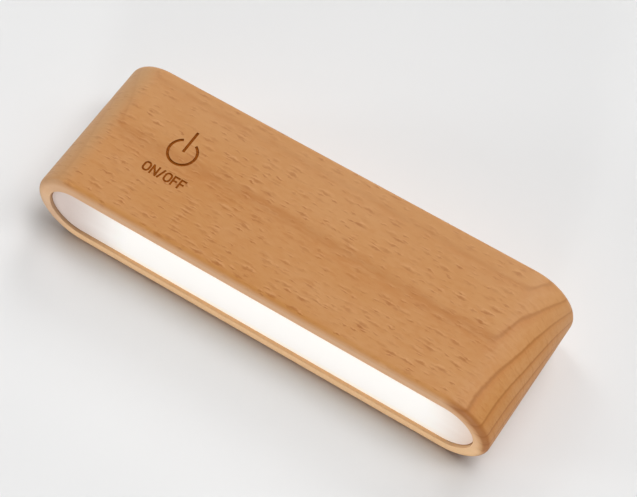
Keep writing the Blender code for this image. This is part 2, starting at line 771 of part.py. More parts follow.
def build_cell(look, tab_look, pad_look):
    """The round cell with its groove and nub, a nickel tab at each end and the foam over it."""
    groove = CELL_LENGTH - CELL_NUB_HEIGHT - CELL_GROOVE_FROM_END
    shoulder = CELL_LENGTH - CELL_NUB_HEIGHT
    profile = [
        (0, 0),
        (CELL_RADIUS - CELL_EDGE, 0),
        (CELL_RADIUS, CELL_EDGE),
        (CELL_RADIUS, groove - CELL_GROOVE_WIDE),
        (CELL_RADIUS - CELL_GROOVE_DEEP, groove - CELL_GROOVE_WIDE / 2),
        (CELL_RADIUS, groove),
        (CELL_RADIUS, shoulder - CELL_EDGE),
        (CELL_RADIUS - CELL_EDGE, shoulder),
        (CELL_NUB_RADIUS, shoulder),
        (CELL_NUB_RADIUS, CELL_LENGTH),
        (0, CELL_LENGTH),
    ]
    finish("battery_cell", turned(profile, ROUND_SIDES), look, (CELL_LEFT, CELL_Y, CELL_Z), ALONG_X)
    near = CELL_LEFT - SEAT_GAP
    far = CELL_RIGHT + SEAT_GAP
    low, high = CELL_Z - TAB_HEIGHT / 2, LEAD_Z + TAB_HEIGHT / 4
    half = TAB_WIDTH / 2
    tab = box_mesh((near - TAB_THICK, CELL_Y - half, low), (near, CELL_Y + half, high))
    finish("cell_tab_negative", tab, tab_look)
    tab = box_mesh((far, CELL_Y - TAB_EAR, low), (far + TAB_THICK, CELL_Y + half, high))
    finish("cell_tab_positive", tab, tab_look)
    top = BAY_ROOF - SEAT_GAP
    bottom = CELL_Z + CELL_RADIUS - PAD_SKIRT
    x, y = PAD_LENGTH / 2, PAD_WIDTH / 2
    pad = box_mesh((CELL_X - x, CELL_Y - y, bottom), (CELL_X + x, CELL_Y + y, top))
    pad = finish("cell_pad", pad, pad_look)
    hollow = rod(CELL_RADIUS + SEAT_GAP, CELL_LENGTH)
    tool = finish("pad_cutter", turned(hollow, ROUND_SIDES), None, (CELL_LEFT, CELL_Y, CELL_Z), ALONG_X)
    combine(pad, tool, "DIFFERENCE")


def build_board(look):
    """The control board, drilled for its two screws."""
    low = (BOARD_LEFT, BOARD_FRONT, BOARD_TOP - BOARD_THICK)
    board = finish("control_board", box_mesh(low, (BOARD_RIGHT, BOARD_BACK, BOARD_TOP)), look)
    for x, y in screwed_places().values():
        hole = rod(BOARD_SCREW_RADIUS + SLIDE_GAP, BOARD_THICK + 2 * OVERRUN)
        place = (x, y, BOARD_TOP - BOARD_THICK - OVERRUN)
        combine(board, finish("board_cutter", turned(hole, SMALL_SIDES), None, place), "DIFFERENCE")
    return board


def chip(name, size, pins, look, place):
    """A moulded chip with bent legs along its two long sides."""
    made = block(name, size, look, place, CHIP_EDGE)
    middle = size[2] / 2
    for side in (-1, 1):
        for i in range(pins):
            x = place[0] + (i - (pins - 1) / 2) * PIN_PITCH
            root = size[1] / 2 - OVERLAP
            knee = size[1] / 2 + PIN_REACH / 2
            toe = size[1] / 2 + PIN_REACH
            leg = [
                (root, middle - PIN_THICK / 2),
                (knee - PIN_THICK, middle - PIN_THICK / 2),
                (knee - PIN_THICK, 0),
                (toe, 0),
                (toe, PIN_THICK),
                (knee, PIN_THICK),
                (knee, middle + PIN_THICK / 2),
                (root, middle + PIN_THICK / 2),
            ]
            half = PIN_WIDTH / 2
            loops = [
                [(x + end, place[1] + side * y, place[2] + z) for y, z in leg] for end in (-half, half)
            ]
            combine(made, finish(f"{name}_leg", loft(bmesh.new(), loops), None), "UNION")
    return made


def build_components(looks):
    """The chips, inductor, capacitors and charging light on the control board."""

    def beside_port(offset, side):
        return (PORT_X + side * offset[0], BOARD_BACK - offset[1], ABOVE_BOARD)

    touch_place = (MARK_X - TOUCH_CHIP_FROM_MARK, MARK_Y, ABOVE_BOARD)
    chip("touch_chip", TOUCH_CHIP_SIZE, 3, looks["black"], touch_place)
    chip("charge_chip", CHARGE_CHIP_SIZE, 4, looks["black"], beside_port(CHARGE_CHIP_FROM_PORT, -1))
    chip("driver_chip", DRIVER_CHIP_SIZE, 3, looks["black"], beside_port(DRIVER_CHIP_FROM_PORT, 1))
    blocks = (
        ("inductor", INDUCTOR_SIZE, "grey", beside_port(INDUCTOR_FROM_PORT, 1)),
        ("input_capacitor", CAPACITOR_SIZE, "tan", beside_port(INPUT_CAPACITOR_FROM_PORT, -1)),
        ("output_capacitor", CAPACITOR_SIZE, "tan", beside_port(OUTPUT_CAPACITOR_FROM_PORT, 1)),
    )
    for name, size, look, place in blocks:
        block(name, size, looks[look], place, COMPONENT_EDGE)
    size = (CHARGE_LIGHT_WIDTH, CHARGE_LIGHT_DEPTH, SOCKET_HEIGHT)
    place = (PIPE_X, BOARD_BACK - CHARGE_LIGHT_DEPTH / 2, ABOVE_BOARD)
    block("charge_light", size, looks["clear"], place, CHIP_EDGE)
    pipe_start = BOARD_BACK + SEAT_GAP
    pipe = rod(LIGHT_PIPE_RADIUS, BACK - SEAT_GAP - pipe_start, CHIP_EDGE)
    place = (PIPE_X, pipe_start, MID)
    finish("light_pipe", turned(pipe, SMALL_SIDES), looks["clear"], place, ALONG_Y)


def build_spring(look):
    """The conical touch spring, from the control board up to the wood under the mark."""
    foot = ABOVE_BOARD + SPRING_WIRE / 2
    top = BAY_ROOF - SEAT_GAP - SPRING_WIRE / 2
    count = SPRING_TURNS * SPRING_POINTS
    points = []
    for i in range(count + 1):
        share = i / count
        turn = 2 * math.pi * SPRING_TURNS * share
        radius = SPRING_BASE_RADIUS + (SPRING_TOP_RADIUS - SPRING_BASE_RADIUS) * share
        height = foot + (top - foot) * (1 - math.cos(math.pi * share)) / 2
        points.append((MARK_X + radius * math.cos(turn), MARK_Y + radius * math.sin(turn), height))
    return wire("touch_spring", points, SPRING_WIRE, look)


def build_socket(shell_look, tongue_look, bezel_look):
    """The charging socket's shell, its tongue, and the sleeve that lines the hole in the wood."""
    outside = (SOCKET_WIDTH, SOCKET_HEIGHT)
    inside = shrunk(outside, SOCKET_WALL)
    back = CARRIER_BACK - SOCKET_DEPTH
    sections = (
        (outside, back),
        (outside, CARRIER_BACK),
        (inside, CARRIER_BACK),
        (inside, back + SOCKET_BACK),
    )
    loops = [upright(stadium(size, SMALL_STEPS), y) for size, y in sections]
    finish("charge_socket", loft(bmesh.new(), loops), shell_look, (PORT_X, 0, MID))
    start = back + SOCKET_BACK + SEAT_GAP
    tongue = rounded((TONGUE_WIDTH, TONGUE_THICK), TONGUE_EDGE, 1)
    loops = [upright(tongue, y) for y in (start, start + TONGUE_DEPTH)]
    finish("socket_tongue", loft(bmesh.new(), loops), tongue_look, (PORT_X, 0, MID))
    hole = (PORT_WIDTH, PORT_HEIGHT)
    sleeve = shrunk(hole, -BEZEL_WALL)
    start = BAY_BACK + SEAT_GAP
    sections = (
        (hole, start),
        (sleeve, start),
        (sleeve, BACK),
        (shrunk(hole, -BEZEL_EDGE), BACK),
        (hole, BACK - BEZEL_EDGE),
    )
    loops = [upright(stadium(size, SMALL_STEPS), y) for size, y in sections]
    finish("port_bezel", loft(bmesh.new(), loops, ring=True), bezel_look, (PORT_X, 0, MID))


def build_connector(look, plug_look):
    """The battery header on the board, and the plug that sits in it."""
    half = HEADER_WIDTH / 2
    low = (HEADER_LEFT, HEADER_Y - half, ABOVE_BOARD)
    header = finish(
        "battery_header",
        box_mesh(low, (HEADER_RIGHT, HEADER_Y + half, ABOVE_BOARD + HEADER_HEIGHT)),
        look,
    )
    floor = HEADER_LEFT + HEADER_BACK
    inner = half - HEADER_WALL
    bottom, top = ABOVE_BOARD + HEADER_WALL, ABOVE_BOARD + HEADER_HEIGHT - HEADER_WALL
    low = (floor, HEADER_Y - inner, bottom)
    hollow = finish("header_cutter", box_mesh(low, (HEADER_RIGHT + OVERRUN, HEADER_Y + inner, top)), None)
    combine(header, hollow, "DIFFERENCE")
    side = inner - SLIDE_GAP
    low = (floor + SEAT_GAP, HEADER_Y - side, bottom + SLIDE_GAP)
    high = (floor + SEAT_GAP + PLUG_LENGTH, HEADER_Y + side, top - SLIDE_GAP)
    finish("battery_plug", box_mesh(low, high), plug_look)
    return high[0]


def build_leads(looks, plug_end):
    """The leads from the cell to its plug, and from the control board to the light strip."""
    pitch = 2 * LEAD_DIAMETER
    start = plug_end + SEAT_GAP
    straight = 2 * LEAD_DIAMETER
    red_y = HEADER_Y - PLUG_LEAD_SPACING / 2
    black_y = HEADER_Y + PLUG_LEAD_SPACING / 2
    near = CELL_LEFT - TAB_THICK - 2 * SEAT_GAP
    crossing = CELL_LEFT - CELL_END_ROOM
    black = [
        (start, black_y, PLUG_Z),
        (start + straight, black_y, PLUG_Z),
        ((start + crossing) / 2, (black_y + CELL_Y) / 2, (PLUG_Z + LEAD_Z) / 2),
        (near - 2 * straight, CELL_Y, LEAD_Z),
        (near, CELL_Y, LEAD_Z),
    ]
    wire("battery_lead_black", smooth_route(black, pitch), LEAD_DIAMETER, looks["black"])
    beside = CELL_Y - CELL_RADIUS - LEAD_BESIDE_CELL - LEAD_DIAMETER / 2
    far = CELL_RIGHT
    red = [
        (start, red_y, PLUG_Z),
        (start + straight, red_y, PLUG_Z),
        ((start + crossing) / 2, (red_y + beside) / 2, (PLUG_Z + LEAD_Z) / 2),
        (near - straight, beside, LEAD_Z),
        (CELL_X, beside, LEAD_Z),
        (far - straight, beside, LEAD_Z),
        (far, beside, LEAD_Z),
    ]
    wire("battery_lead_red", smooth_route(red, pitch), LEAD_DIAMETER, looks["red"])
    end = STRIP_BACK + SEAT_GAP
    for name, side in (("red", -1), ("black", 1)):
        x = STRIP_LEAD_X + side * LEAD_SPACING / 2
        height = lead_height()
        route = [(x, BOARD_FRONT + STRIP_LEAD_START, height), (x, end, height)]
        wire(f"led_lead_{name}", smooth_route(route, pitch), LEAD_DIAMETER, looks[name])


def build_magnets(look):
    """The two discs let into the underside."""
    for name, side in (("left", -1), ("right", 1)):
        disc = turned(rod(MAGNET_RADIUS, MAGNET_THICK, MAGNET_EDGE), ROUND_SIDES)
        place = (side * (BODY_LENGTH / 2 - MAGNET_FROM_END), 0, 0)
        finish(f"magnet_{name}", disc, look, place)


def main():
    for old in list(bpy.data.objects):
        bpy.data.objects.remove(old)
    lamp = bpy.data.objects.new("lamp", None)
    bpy.context.collection.objects.link(lamp)
    looks = {
        "beech": material("beech", (0.58, 0.28, 0.11), 0.55),
        "opal": material("opal", (0.95, 0.93, 0.90), 0.35),
        "white": material("white", (0.85, 0.85, 0.83), 0.45),
        "chip": material("chip", (0.90, 0.80, 0.35), 0.40),
        "grey": material("grey", (0.12, 0.12, 0.13), 0.60),
        "green": material("green", (0.03, 0.16, 0.07), 0.45),
        "black": material("black", (0.02, 0.02, 0.02), 0.50),
        "red": material("red", (0.60, 0.03, 0.02), 0.45),
        "tan": material("tan", (0.42, 0.30, 0.16), 0.50),
        "clear": material("clear", (0.85, 0.88, 0.88), 0.15),
        "sleeve": material("sleeve", (0.03, 0.12, 0.42), 0.35),
        "steel": material("steel", (0.62, 0.62, 0.62), 0.30, 1.0),
        "nickel": material("nickel", (0.66, 0.63, 0.58), 0.30, 1.0),
        "foam": material("foam", (0.06, 0.06, 0.06), 0.95),
    }
    build_body(looks["beech"])
    build_diffuser(looks["opal"])
    build_trough(looks["white"])
    build_strip(looks["white"], looks["chip"])
    build_carrier(looks["grey"])
    build_screws(looks["steel"])
    build_cell(looks["sleeve"], looks["nickel"], looks["foam"])
    build_board(looks["green"])
    build_components(looks)
    build_spring(looks["steel"])
    build_socket(looks["steel"], looks["black"], looks["grey"])
    plug_end = build_connector(looks["white"], looks["white"])
    build_leads(looks, plug_end)
    build_magnets(looks["nickel"])


main()
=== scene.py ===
"""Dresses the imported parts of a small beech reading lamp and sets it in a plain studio.

The lamp is a round-ended beech block with an opal diffuser in its front edge and a touch mark
burnt into its top. Lengths are in metres, and in millimetres inside the finishes.
"""

import json
import logging
import math
from dataclasses import dataclass, field
from enum import Enum
from functools import reduce
from typing import Sequence

import bmesh
import bpy
from bmesh.types import BMesh, BMFace, BMVert
from mathutils import Matrix, Vector


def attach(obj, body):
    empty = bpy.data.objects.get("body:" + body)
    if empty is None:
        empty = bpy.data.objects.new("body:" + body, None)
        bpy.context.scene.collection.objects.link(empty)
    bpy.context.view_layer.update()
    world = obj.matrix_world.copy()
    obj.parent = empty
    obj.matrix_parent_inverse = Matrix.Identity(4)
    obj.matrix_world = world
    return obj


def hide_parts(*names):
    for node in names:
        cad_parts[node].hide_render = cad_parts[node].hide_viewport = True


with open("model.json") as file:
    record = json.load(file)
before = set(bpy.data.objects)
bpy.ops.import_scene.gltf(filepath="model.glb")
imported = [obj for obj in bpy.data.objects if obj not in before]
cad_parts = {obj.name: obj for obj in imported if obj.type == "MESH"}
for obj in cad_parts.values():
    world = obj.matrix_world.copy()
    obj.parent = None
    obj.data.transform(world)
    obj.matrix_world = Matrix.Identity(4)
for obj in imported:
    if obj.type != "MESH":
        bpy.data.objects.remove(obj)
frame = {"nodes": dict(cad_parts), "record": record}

# A ramp is two values and then the two results that they give.
Colour = Ramp = tuple[float, float, float, float]
Place = Size = tuple[float, float, float]
Pair = tuple[float, float]

BODY = "root"
FINISH_ENDING = "_finish"
MERGE_DISTANCE = 0.000001
SHARP_ANGLE = math.radians(32)
ROUND_PROFILE = 0.5
EDGE_STEPS = 3
LIP_STEPS = 4
CORNER_STEPS = 5
WIRE_STEPS = 4
GRID_HALF = 0.5
QUARTER = math.pi / 2
TURN_X = Matrix.Rotation(QUARTER, 4, "X")
TURN_Y = Matrix.Rotation(QUARTER, 4, "Y")
METRES_TO_MM = 1000.0
SCREEN_MAX = 255.0
NOISE_MIDDLE = (0.3, 0.7)
NOISE_WIDE = (0.25, 0.75)
NOISE_WHOLE = (0.2, 0.8)
ROUGH_LAYERS = 3.0
ROUGH_SHARE = 0.6

log = logging.getLogger("lamp")


def shade(red: float, green: float, blue: float) -> Colour:
    """Turns a colour as a screen shows it into the linear values that a shader takes.

    Args:
        red: Red level, from 0 to 255.
        green: Green level, from 0 to 255.
        blue: Blue level, from 0 to 255.

    Returns:
        The linear colour with full opacity.
    """
    knee, slope, offset, power = 0.04045, 12.92, 0.055, 2.4
    linear = []
    for level in (red, green, blue):
        value = level / SCREEN_MAX
        linear.append(value / slope if value <= knee else ((value + offset) / (1 + offset)) ** power)
    return (linear[0], linear[1], linear[2], 1.0)


class Recipe:
    """A material in the making, with short methods for the nodes that the finishes share."""

    def __init__(self, name: str) -> None:
        """Starts a material with one shader.

        Args:
            name: Name of the material.
        """
        self.material = bpy.data.materials.new(f"{name}{FINISH_ENDING}")
        self.material.use_nodes = True
        self.tree = self.material.node_tree
        self.tree.nodes.clear()
        self.output = self.add("ShaderNodeOutputMaterial")
        self.shader = self.add("ShaderNodeBsdfPrincipled")
        self.join(self.shader.outputs["BSDF"], self.output.inputs["Surface"])
        coordinates = self.add("ShaderNodeTexCoord")
        self.place = self.stretch(coordinates.outputs["Object"], (METRES_TO_MM,) * 3)

    def add(self, kind: str, **settings: object) -> bpy.types.Node:
        """Adds a node.

        Args:
            kind: Type name of the node.
            settings: Values for the node's own properties.

        Returns:
            The new node.
        """
        node = self.tree.nodes.new(kind)
        for name, value in settings.items():
            setattr(node, name, value)
        return node

    def join(self, value: object, socket: bpy.types.NodeSocket) -> None:
        """Feeds a socket from another socket, or sets its number or colour.

        Args:
            value: The source socket, or the value to set.
            socket: The socket that takes it.
        """
        if isinstance(value, bpy.types.NodeSocket):
            self.tree.links.new(value, socket)
        else:
            socket.default_value = value

    def set(self, **values: object) -> None:
        """Sets the shader's sockets, with an underscore for each space in their names.

        Args:
            values: Sockets or plain values by socket name.
        """
        for name, value in values.items():
            self.join(value, self.shader.inputs[name.replace("_", " ")])

    def stretch(self, place: object, scale: Sequence[float], turn: Place = (0, 0, 0)) -> object:
        """Scales and turns a pattern's coordinates.

        Args:
            place: The coordinates.
            scale: Factor along each axis.
            turn: Angles about the axes, in radians.

        Returns:
            The new coordinates.
        """
        node = self.add("ShaderNodeMapping")
        self.join(place, node.inputs["Vector"])
        node.inputs["Scale"].default_value = scale
        node.inputs["Rotation"].default_value = turn
        return node.outputs["Vector"]

    def cells(self, place: object, sizes: Sequence[float]) -> object:
        """Gives coordinates in which a pattern's cell has the given sizes in millimetres."""
        return self.stretch(place, [1 / size for size in sizes])

    def sum(self, operation: str, first: object, second: object = 0.0, third: object = 0.0) -> object:
        """Does one sum on numbers.

        Args:
            operation: Name of the sum.
            first: First number or socket.
            second: Second number or socket.
            third: Third number or socket.

        Returns:
            The socket with the result.
        """
        node = self.add("ShaderNodeMath", operation=operation)
        for value, socket in zip((first, second, third), node.inputs):
            self.join(value, socket)
        return node.outputs["Value"]

    def times(self, first: object, *others: object) -> object:
        """Multiplies numbers one after the other."""
        return reduce(lambda product, other: self.sum("MULTIPLY", product, other), others, first)

    def span(self, value: object, low: float, high: float, start: float = 0.0, end: float = 1.0) -> object:
        """Maps a range of a number smoothly onto another range, and holds it at the ends.

        Args:
            value: The number.
            low: Value that gives the start.
            high: Value that gives the end.
            start: Result at low.
            end: Result at high.

        Returns:
            The socket with the result.
        """
        node = self.add("ShaderNodeMapRange", interpolation_type="SMOOTHSTEP")
        names = ("Value", "From Min", "From Max", "To Min", "To Max")
        for name, given in zip(names, (value, low, high, start, end)):
            self.join(given, node.inputs[name])
        return node.outputs["Result"]

    def noise(self, place: object, sizes: Size, layers: float = 2.0, roughness: float = 0.5) -> object:
        """Gives smooth random variation about 0.5.

        Args:
            place: The coordinates.
            sizes: Size of the pattern along each axis, in millimetres.
            layers: Number of finer layers.
            roughness: Strength of each finer layer.

        Returns:
            The socket with the value.
        """
        node = self.add("ShaderNodeTexNoise")
        self.join(self.cells(place, sizes), node.inputs["Vector"])
        node.inputs["Scale"].default_value = 1.0
        node.inputs["Detail"].default_value = layers
        node.inputs["Roughness"].default_value = roughness
        return node.outputs["Fac"]

    def mix(self, share: object, first: object, second: object) -> object:
        """Mixes two colours.

        Args:
            share: Share of the second colour, from 0 to 1.
            first: First colour or socket.
            second: Second colour or socket.

        Returns:
            The socket with the colour.
        """
        node = self.add("ShaderNodeMix", data_type="RGBA")
        sockets = [socket for socket in node.inputs if socket.enabled]
        for value, socket in zip((share, first, second), sockets):
            self.join(value, socket)
        return next(socket for socket in node.outputs if socket.enabled)

    def bump(self, height: object, depth: float) -> object:
        """Turns a height pattern into a bent normal.

        Args:
            height: Pattern from 0 to 1.
            depth: Depth of the pattern in millimetres.

        Returns:
            The socket with the normal.
        """
        node = self.add("ShaderNodeBump")
        self.join(height, node.inputs["Height"])
        node.inputs["Distance"].default_value = depth / METRES_TO_MM
        node.inputs["Strength"].default_value = 1.0
        return node.outputs["Normal"]

    def axes(self, place: object) -> tuple[object, object, object]:
        """Splits coordinates into their three numbers.

        Args:
            place: The coordinates.

        Returns:
            The three sockets.
        """
        node = self.add("ShaderNodeSeparateXYZ")
        self.join(place, node.inputs["Vector"])
        return node.outputs["X"], node.outputs["Y"], node.outputs["Z"]

    def point(self, x: object, y: object, z: object) -> object:
        """Joins three numbers into coordinates.

        Args:
            x: First number or socket.
            y: Second number or socket.
            z: Third number or socket.

        Returns:
            The coordinates.
        """
        node = self.add("ShaderNodeCombineXYZ")
        for value, socket in zip((x, y, z), node.inputs):
            self.join(value, socket)
        return node.outputs["Vector"]


@dataclass(frozen=True)
class Beech:
    """Oiled beech, with rings about a pith below the block, ray flecks and fine pores.

    Lengths are in millimetres, in the lamp's own frame. Ramps over noise and places give shares. The paler
    back, the grey sheen on the left end, the pale front rim and opening wall with their darker parts, and the
    dark band along the right end's edge are painted light and shade.
    """

    name: str = "beech"
    light: Colour = shade(193, 138, 83)
    middle: Colour = shade(188, 130, 70)
    warm: Colour = shade(179, 113, 51)
    ring_line: Colour = shade(146, 91, 37)
    # Painted light: paler towards the back, and a grey painted sheen on the left end.
    back_wood: Colour = shade(197, 149, 102)
    left_wood: Colour = shade(184, 148, 108)
    fleck: Colour = shade(146, 80, 26)
    fleck_side: Colour = shade(212, 158, 106)
    pore: Colour = shade(160, 98, 50)
    # Painted light and shade on the front: a pale rim and opening wall, darker above and at the lower left,
    # and a dark band along the right end's edge.
    front_wood: Colour = shade(244, 203, 155)
    front_shaded: Colour = shade(214, 170, 130)
    front_left: Colour = shade(218, 180, 145)
    arris: Colour = shade(148, 84, 32)
    grain_tilt: float = math.radians(1.1)
    pith_y: float = -24.0
    pith_z: float = -109.0
    first_ring: float = 144.1
    ring_spacing: float = 4.85
    ring_wander: float = 0.9
    line_inset: float = 0.1
    ring_jitter: float = 0.45
    ring_detail: float = 1.5
    top_warp: Ramp = (38.0, 36.9, 0.0, 1.0)
    back_warp: Ramp = (-2.0, 26.0, 0.0, 1.2)
    late_shares: Pair = (0.45, 0.9)
    line_shares: Pair = (0.74, 0.9)
    ring_end_shares: Pair = (1.0, 0.88)
    wander_cell: Size = (95.0, 26.0, 26.0)
    jitter_cell: Size = (6.5, 2.2, 2.2)
    tone_cell: Size = (60.0, 22.0, 22.0)
    patch_cell: Size = (11.0, 3.0, 3.0)
    mottle_cell: Size = (4.2, 1.7, 1.7)
    streak_cell: Size = (20.0, 0.8, 0.8)
    pore_cell: Size = (2.4, 0.2, 0.2)
    long_cell: Size = (11.5, 2.3, 1.0)
    fleck_cell: Size = (7.4, 1.6, 1.0)
    fine_cell: Size = (4.6, 1.05, 1.0)
    bend_cell: Size = (3.6, 1.8, 1.8)
    bend: float = 2.2
    slide_cell: Size = (1.6, 0.7, 0.7)
    slide: float = 2.4
    fleck_chance: Pair = (0.3, 0.5)
    fleck_shares: Ramp = (0.0, 1.0, 0.3, 1.0)
    fleck_reach_share: float = 0.36
    long_reach_share: float = 0.42
    core_share: float = 0.1
    halo_shares: Pair = (1.9, 0.9)
    side_shares: Pair = (0.2, 0.9)
    pore_chance: Pair = (0.58, 0.78)
    mottle_shares: Ramp = (0.38, 0.75, 0.0, 0.3)
    streak_shares: Ramp = (0.4, 0.8, 0.0, 0.12)
    late_patch_shares: Ramp = (0.38, 0.66, 0.12, 0.62)
    late_end_shares: Ramp = (0.0, 1.0, 0.0, 0.6)
    line_end_shares: Ramp = (0.2, 1.0, 0.16, 0.55)
    early_shares: Ramp = (0.0, 0.8, 1.0, 0.6)
    group_shares: Ramp = (0.25, 0.6, 0.65, 1.0)
    group_end_shares: Ramp = (0.3, 1.0, 1.0, 0.3)
    pale_fleck_share: float = 0.5
    dark_fleck_share: float = 0.65
    fine_fleck_share: float = 0.14
    pore_share: float = 0.1
    pore_depth_share: float = -0.6
    fleck_depth_share: float = -0.4
    depth: float = 0.02
    rough: Ramp = (*NOISE_WHOLE, 0.44, 0.56)
    rough_fleck: float = 0.08
    specular: float = 0.3
    end_x: Pair = (74.0, 90.0)
    back_shares: Ramp = (2.0, 31.0, 0.0, 0.3)
    left_shares: Ramp = (-82.0, -91.0, 0.0, 0.5)
    middle_z: float = 19.0
    arc_x: float = 81.0
    opening_radius: float = 13.1
    # Places of the painted light on the opening's wall and front rim, and of the painted shade.
    wall_reach: Pair = (13.4, 13.1)
    wall_y: Pair = (-31.1, -31.2)
    wall_share: float = 0.85
    front_y: Pair = (-31.4, -32.5)
    rim_shares: Ramp = (18.9, 15.5, 0.35, 0.88)
    right_x: Pair = (79.0, 87.0)
    right_rise: Pair = (-6.0, -1.0)
    narrow_rise: Pair = (0.0, 9.0)
    narrowing: float = 0.8
    narrow_rim_shares: Ramp = (17.9, 14.2, 0.0, 0.88)
    arris_shares: Ramp = (16.6, 17.9, 0.0, 0.55)
    arris_y: Pair = (-29.9, -31.3)
    left_x: Pair = (-84.0, -94.0)
    left_rise: Pair = (6.0, -4.0)

    def polar(self, recipe: Recipe) -> tuple[object, object, object]:
        """Gives the place along the grain, round the rings and out from the pith.

        Args:
            recipe: The material in the making.

        Returns:
            The three numbers in millimetres.
        """
        turned = recipe.stretch(recipe.place, (1, 1, 1), (0, 0, self.grain_tilt))
        along, across, height = recipe.axes(turned)
        side = recipe.sum("SUBTRACT", across, self.pith_y)
        rise = recipe.sum("SUBTRACT", height, self.pith_z)
        radius = recipe.sum("SQRT", recipe.sum("ADD", recipe.times(side, side), recipe.times(rise, rise)))
        for value, warp in ((height, self.top_warp), (across, self.back_warp)):
            radius = recipe.sum("SUBTRACT", radius, recipe.span(value, *warp))
        angle = recipe.sum("ARCTAN2", side, rise)
        return along, recipe.times(angle, self.first_ring), radius

    def flecks(self, recipe: Recipe, place: object, sizes: Size, reach: float) -> tuple[object, object]:
        """Scatters spindle-shaped ray flecks.

        Args:
            recipe: The material in the making.
            place: Coordinates along the grain and round the rings.
            sizes: Mean spacing in the three directions.
            reach: Half length of a fleck, as a share of its spacing.

        Returns:
            The flecks' strength, and the strength of the pale side of each.
        """
        cells = recipe.cells(place, sizes)
        node = recipe.add("ShaderNodeTexVoronoi", distance="MANHATTAN", voronoi_dimensions="2D")
        recipe.join(cells, node.inputs["Vector"])
        node.inputs["Scale"].default_value = 1.0
        chance, force, _ = recipe.axes(node.outputs["Color"])
        shown = recipe.span(chance, *self.fleck_chance)
        strength = recipe.times(shown, recipe.span(force, *self.fleck_shares))
        distance = node.outputs["Distance"]
        core = recipe.span(distance, reach, reach * self.core_share)
        halo = recipe.span(distance, *(reach * share for share in self.halo_shares))
        centre = recipe.axes(node.outputs["Position"])[1]
        offset = recipe.sum("SUBTRACT", recipe.axes(cells)[1], centre)
        side = recipe.span(offset, *(reach * share for share in self.side_shares))
        return recipe.times(core, strength), recipe.times(halo, side, strength)

    def rings(self, recipe: Recipe, radius: object) -> tuple[object, object]:
        """Gives the soft late wood of each ring and the thin line that ends it.

        Args:
            recipe: The material in the making.
            radius: Distance from the pith.

        Returns:
            The late wood's share and the line's share.
        """
        wander = recipe.noise(recipe.place, self.wander_cell, self.ring_detail)
        jitter = recipe.noise(recipe.place, self.jitter_cell)
        moved = recipe.sum("MULTIPLY_ADD", wander, self.ring_wander, radius)
        moved = recipe.sum("MULTIPLY_ADD", jitter, self.ring_jitter, moved)
        start = self.first_ring + (self.ring_wander + self.ring_jitter) / 2
        start += self.line_inset * self.ring_spacing
        count = recipe.sum("DIVIDE", recipe.sum("SUBTRACT", moved, start), self.ring_spacing)
        part = recipe.sum("FRACT", count)
        end = recipe.span(part, *self.ring_end_shares)
        late = recipe.times(recipe.span(part, *self.late_shares), end)
        return late, recipe.times(recipe.span(part, *self.line_shares), end)

    def material(self) -> bpy.types.Material:
        """Builds the material.

        Returns:
            The beech material.
        """
        recipe = Recipe(self.name)
        along, round_ring, radius = self.polar(recipe)
        late, line = self.rings(recipe, radius)
        ends = recipe.span(along, *self.end_x)
        bend = recipe.noise(recipe.place, self.bend_cell, ROUGH_LAYERS, ROUGH_SHARE)
        slide = recipe.noise(recipe.place, self.slide_cell)
        place = recipe.point(
            recipe.sum("MULTIPLY_ADD", slide, self.slide, along),
            recipe.sum("MULTIPLY_ADD", bend, self.bend, round_ring),
            radius,
        )
        dark, pale = self.flecks(recipe, place, self.fleck_cell, self.fleck_reach_share)
        long_dark, long_pale = self.flecks(recipe, place, self.long_cell, self.long_reach_share)
        dark = recipe.sum("MAXIMUM", dark, long_dark)
        pale = recipe.sum("MAXIMUM", pale, long_pale)
        fine, _ = self.flecks(recipe, place, self.fine_cell, self.fleck_reach_share)
        tone = recipe.noise(recipe.place, self.tone_cell)
        patch = recipe.noise(place, self.patch_cell)
        mottle = recipe.noise(place, self.mottle_cell)
        streak = recipe.noise(place, self.streak_cell)
        pores = recipe.span(recipe.noise(place, self.pore_cell, roughness=ROUGH_SHARE), *self.pore_chance)
        base = recipe.mix(recipe.span(tone, *NOISE_MIDDLE), self.light, self.middle)
        base = recipe.mix(recipe.span(mottle, *self.mottle_shares), base, self.warm)
        base = recipe.mix(recipe.span(streak, *self.streak_shares), base, self.warm)
        patchy = recipe.span(patch, *self.late_patch_shares)
        patchy = recipe.sum("MAXIMUM", patchy, recipe.span(ends, *self.late_end_shares))
        base = recipe.mix(recipe.times(late, patchy), base, self.warm)
        on_line = recipe.times(line, recipe.span(ends, *self.line_end_shares))
        base = recipe.mix(on_line, base, self.ring_line)
        group = recipe.times(recipe.span(late, *self.early_shares), recipe.span(patch, *self.group_shares))
        group = recipe.times(group, recipe.span(ends, *self.group_end_shares))
        base = recipe.mix(recipe.times(pale, group, self.pale_fleck_share), base, self.fleck_side)
        base = recipe.mix(recipe.times(dark, group, self.dark_fleck_share), base, self.fleck)
        base = recipe.mix(recipe.times(fine, self.fine_fleck_share), base, self.fleck)
        base = recipe.mix(recipe.times(pores, self.pore_share), base, self.pore)
        sideways, across, height = recipe.axes(recipe.place)
        # Painted light: paler towards the back, and a grey painted sheen on the left end.
        base = recipe.mix(recipe.span(across, *self.back_shares), base, self.back_wood)
        base = recipe.mix(recipe.span(sideways, *self.left_shares), base, self.left_wood)
        rise = recipe.sum("SUBTRACT", height, self.middle_z)
        beyond = recipe.sum("SUBTRACT", recipe.sum("ABSOLUTE", sideways), self.arc_x)
        beyond = recipe.sum("MAXIMUM", beyond, 0.0)
        reach = recipe.sum("SQRT", recipe.sum("ADD", recipe.times(rise, rise), recipe.times(beyond, beyond)))
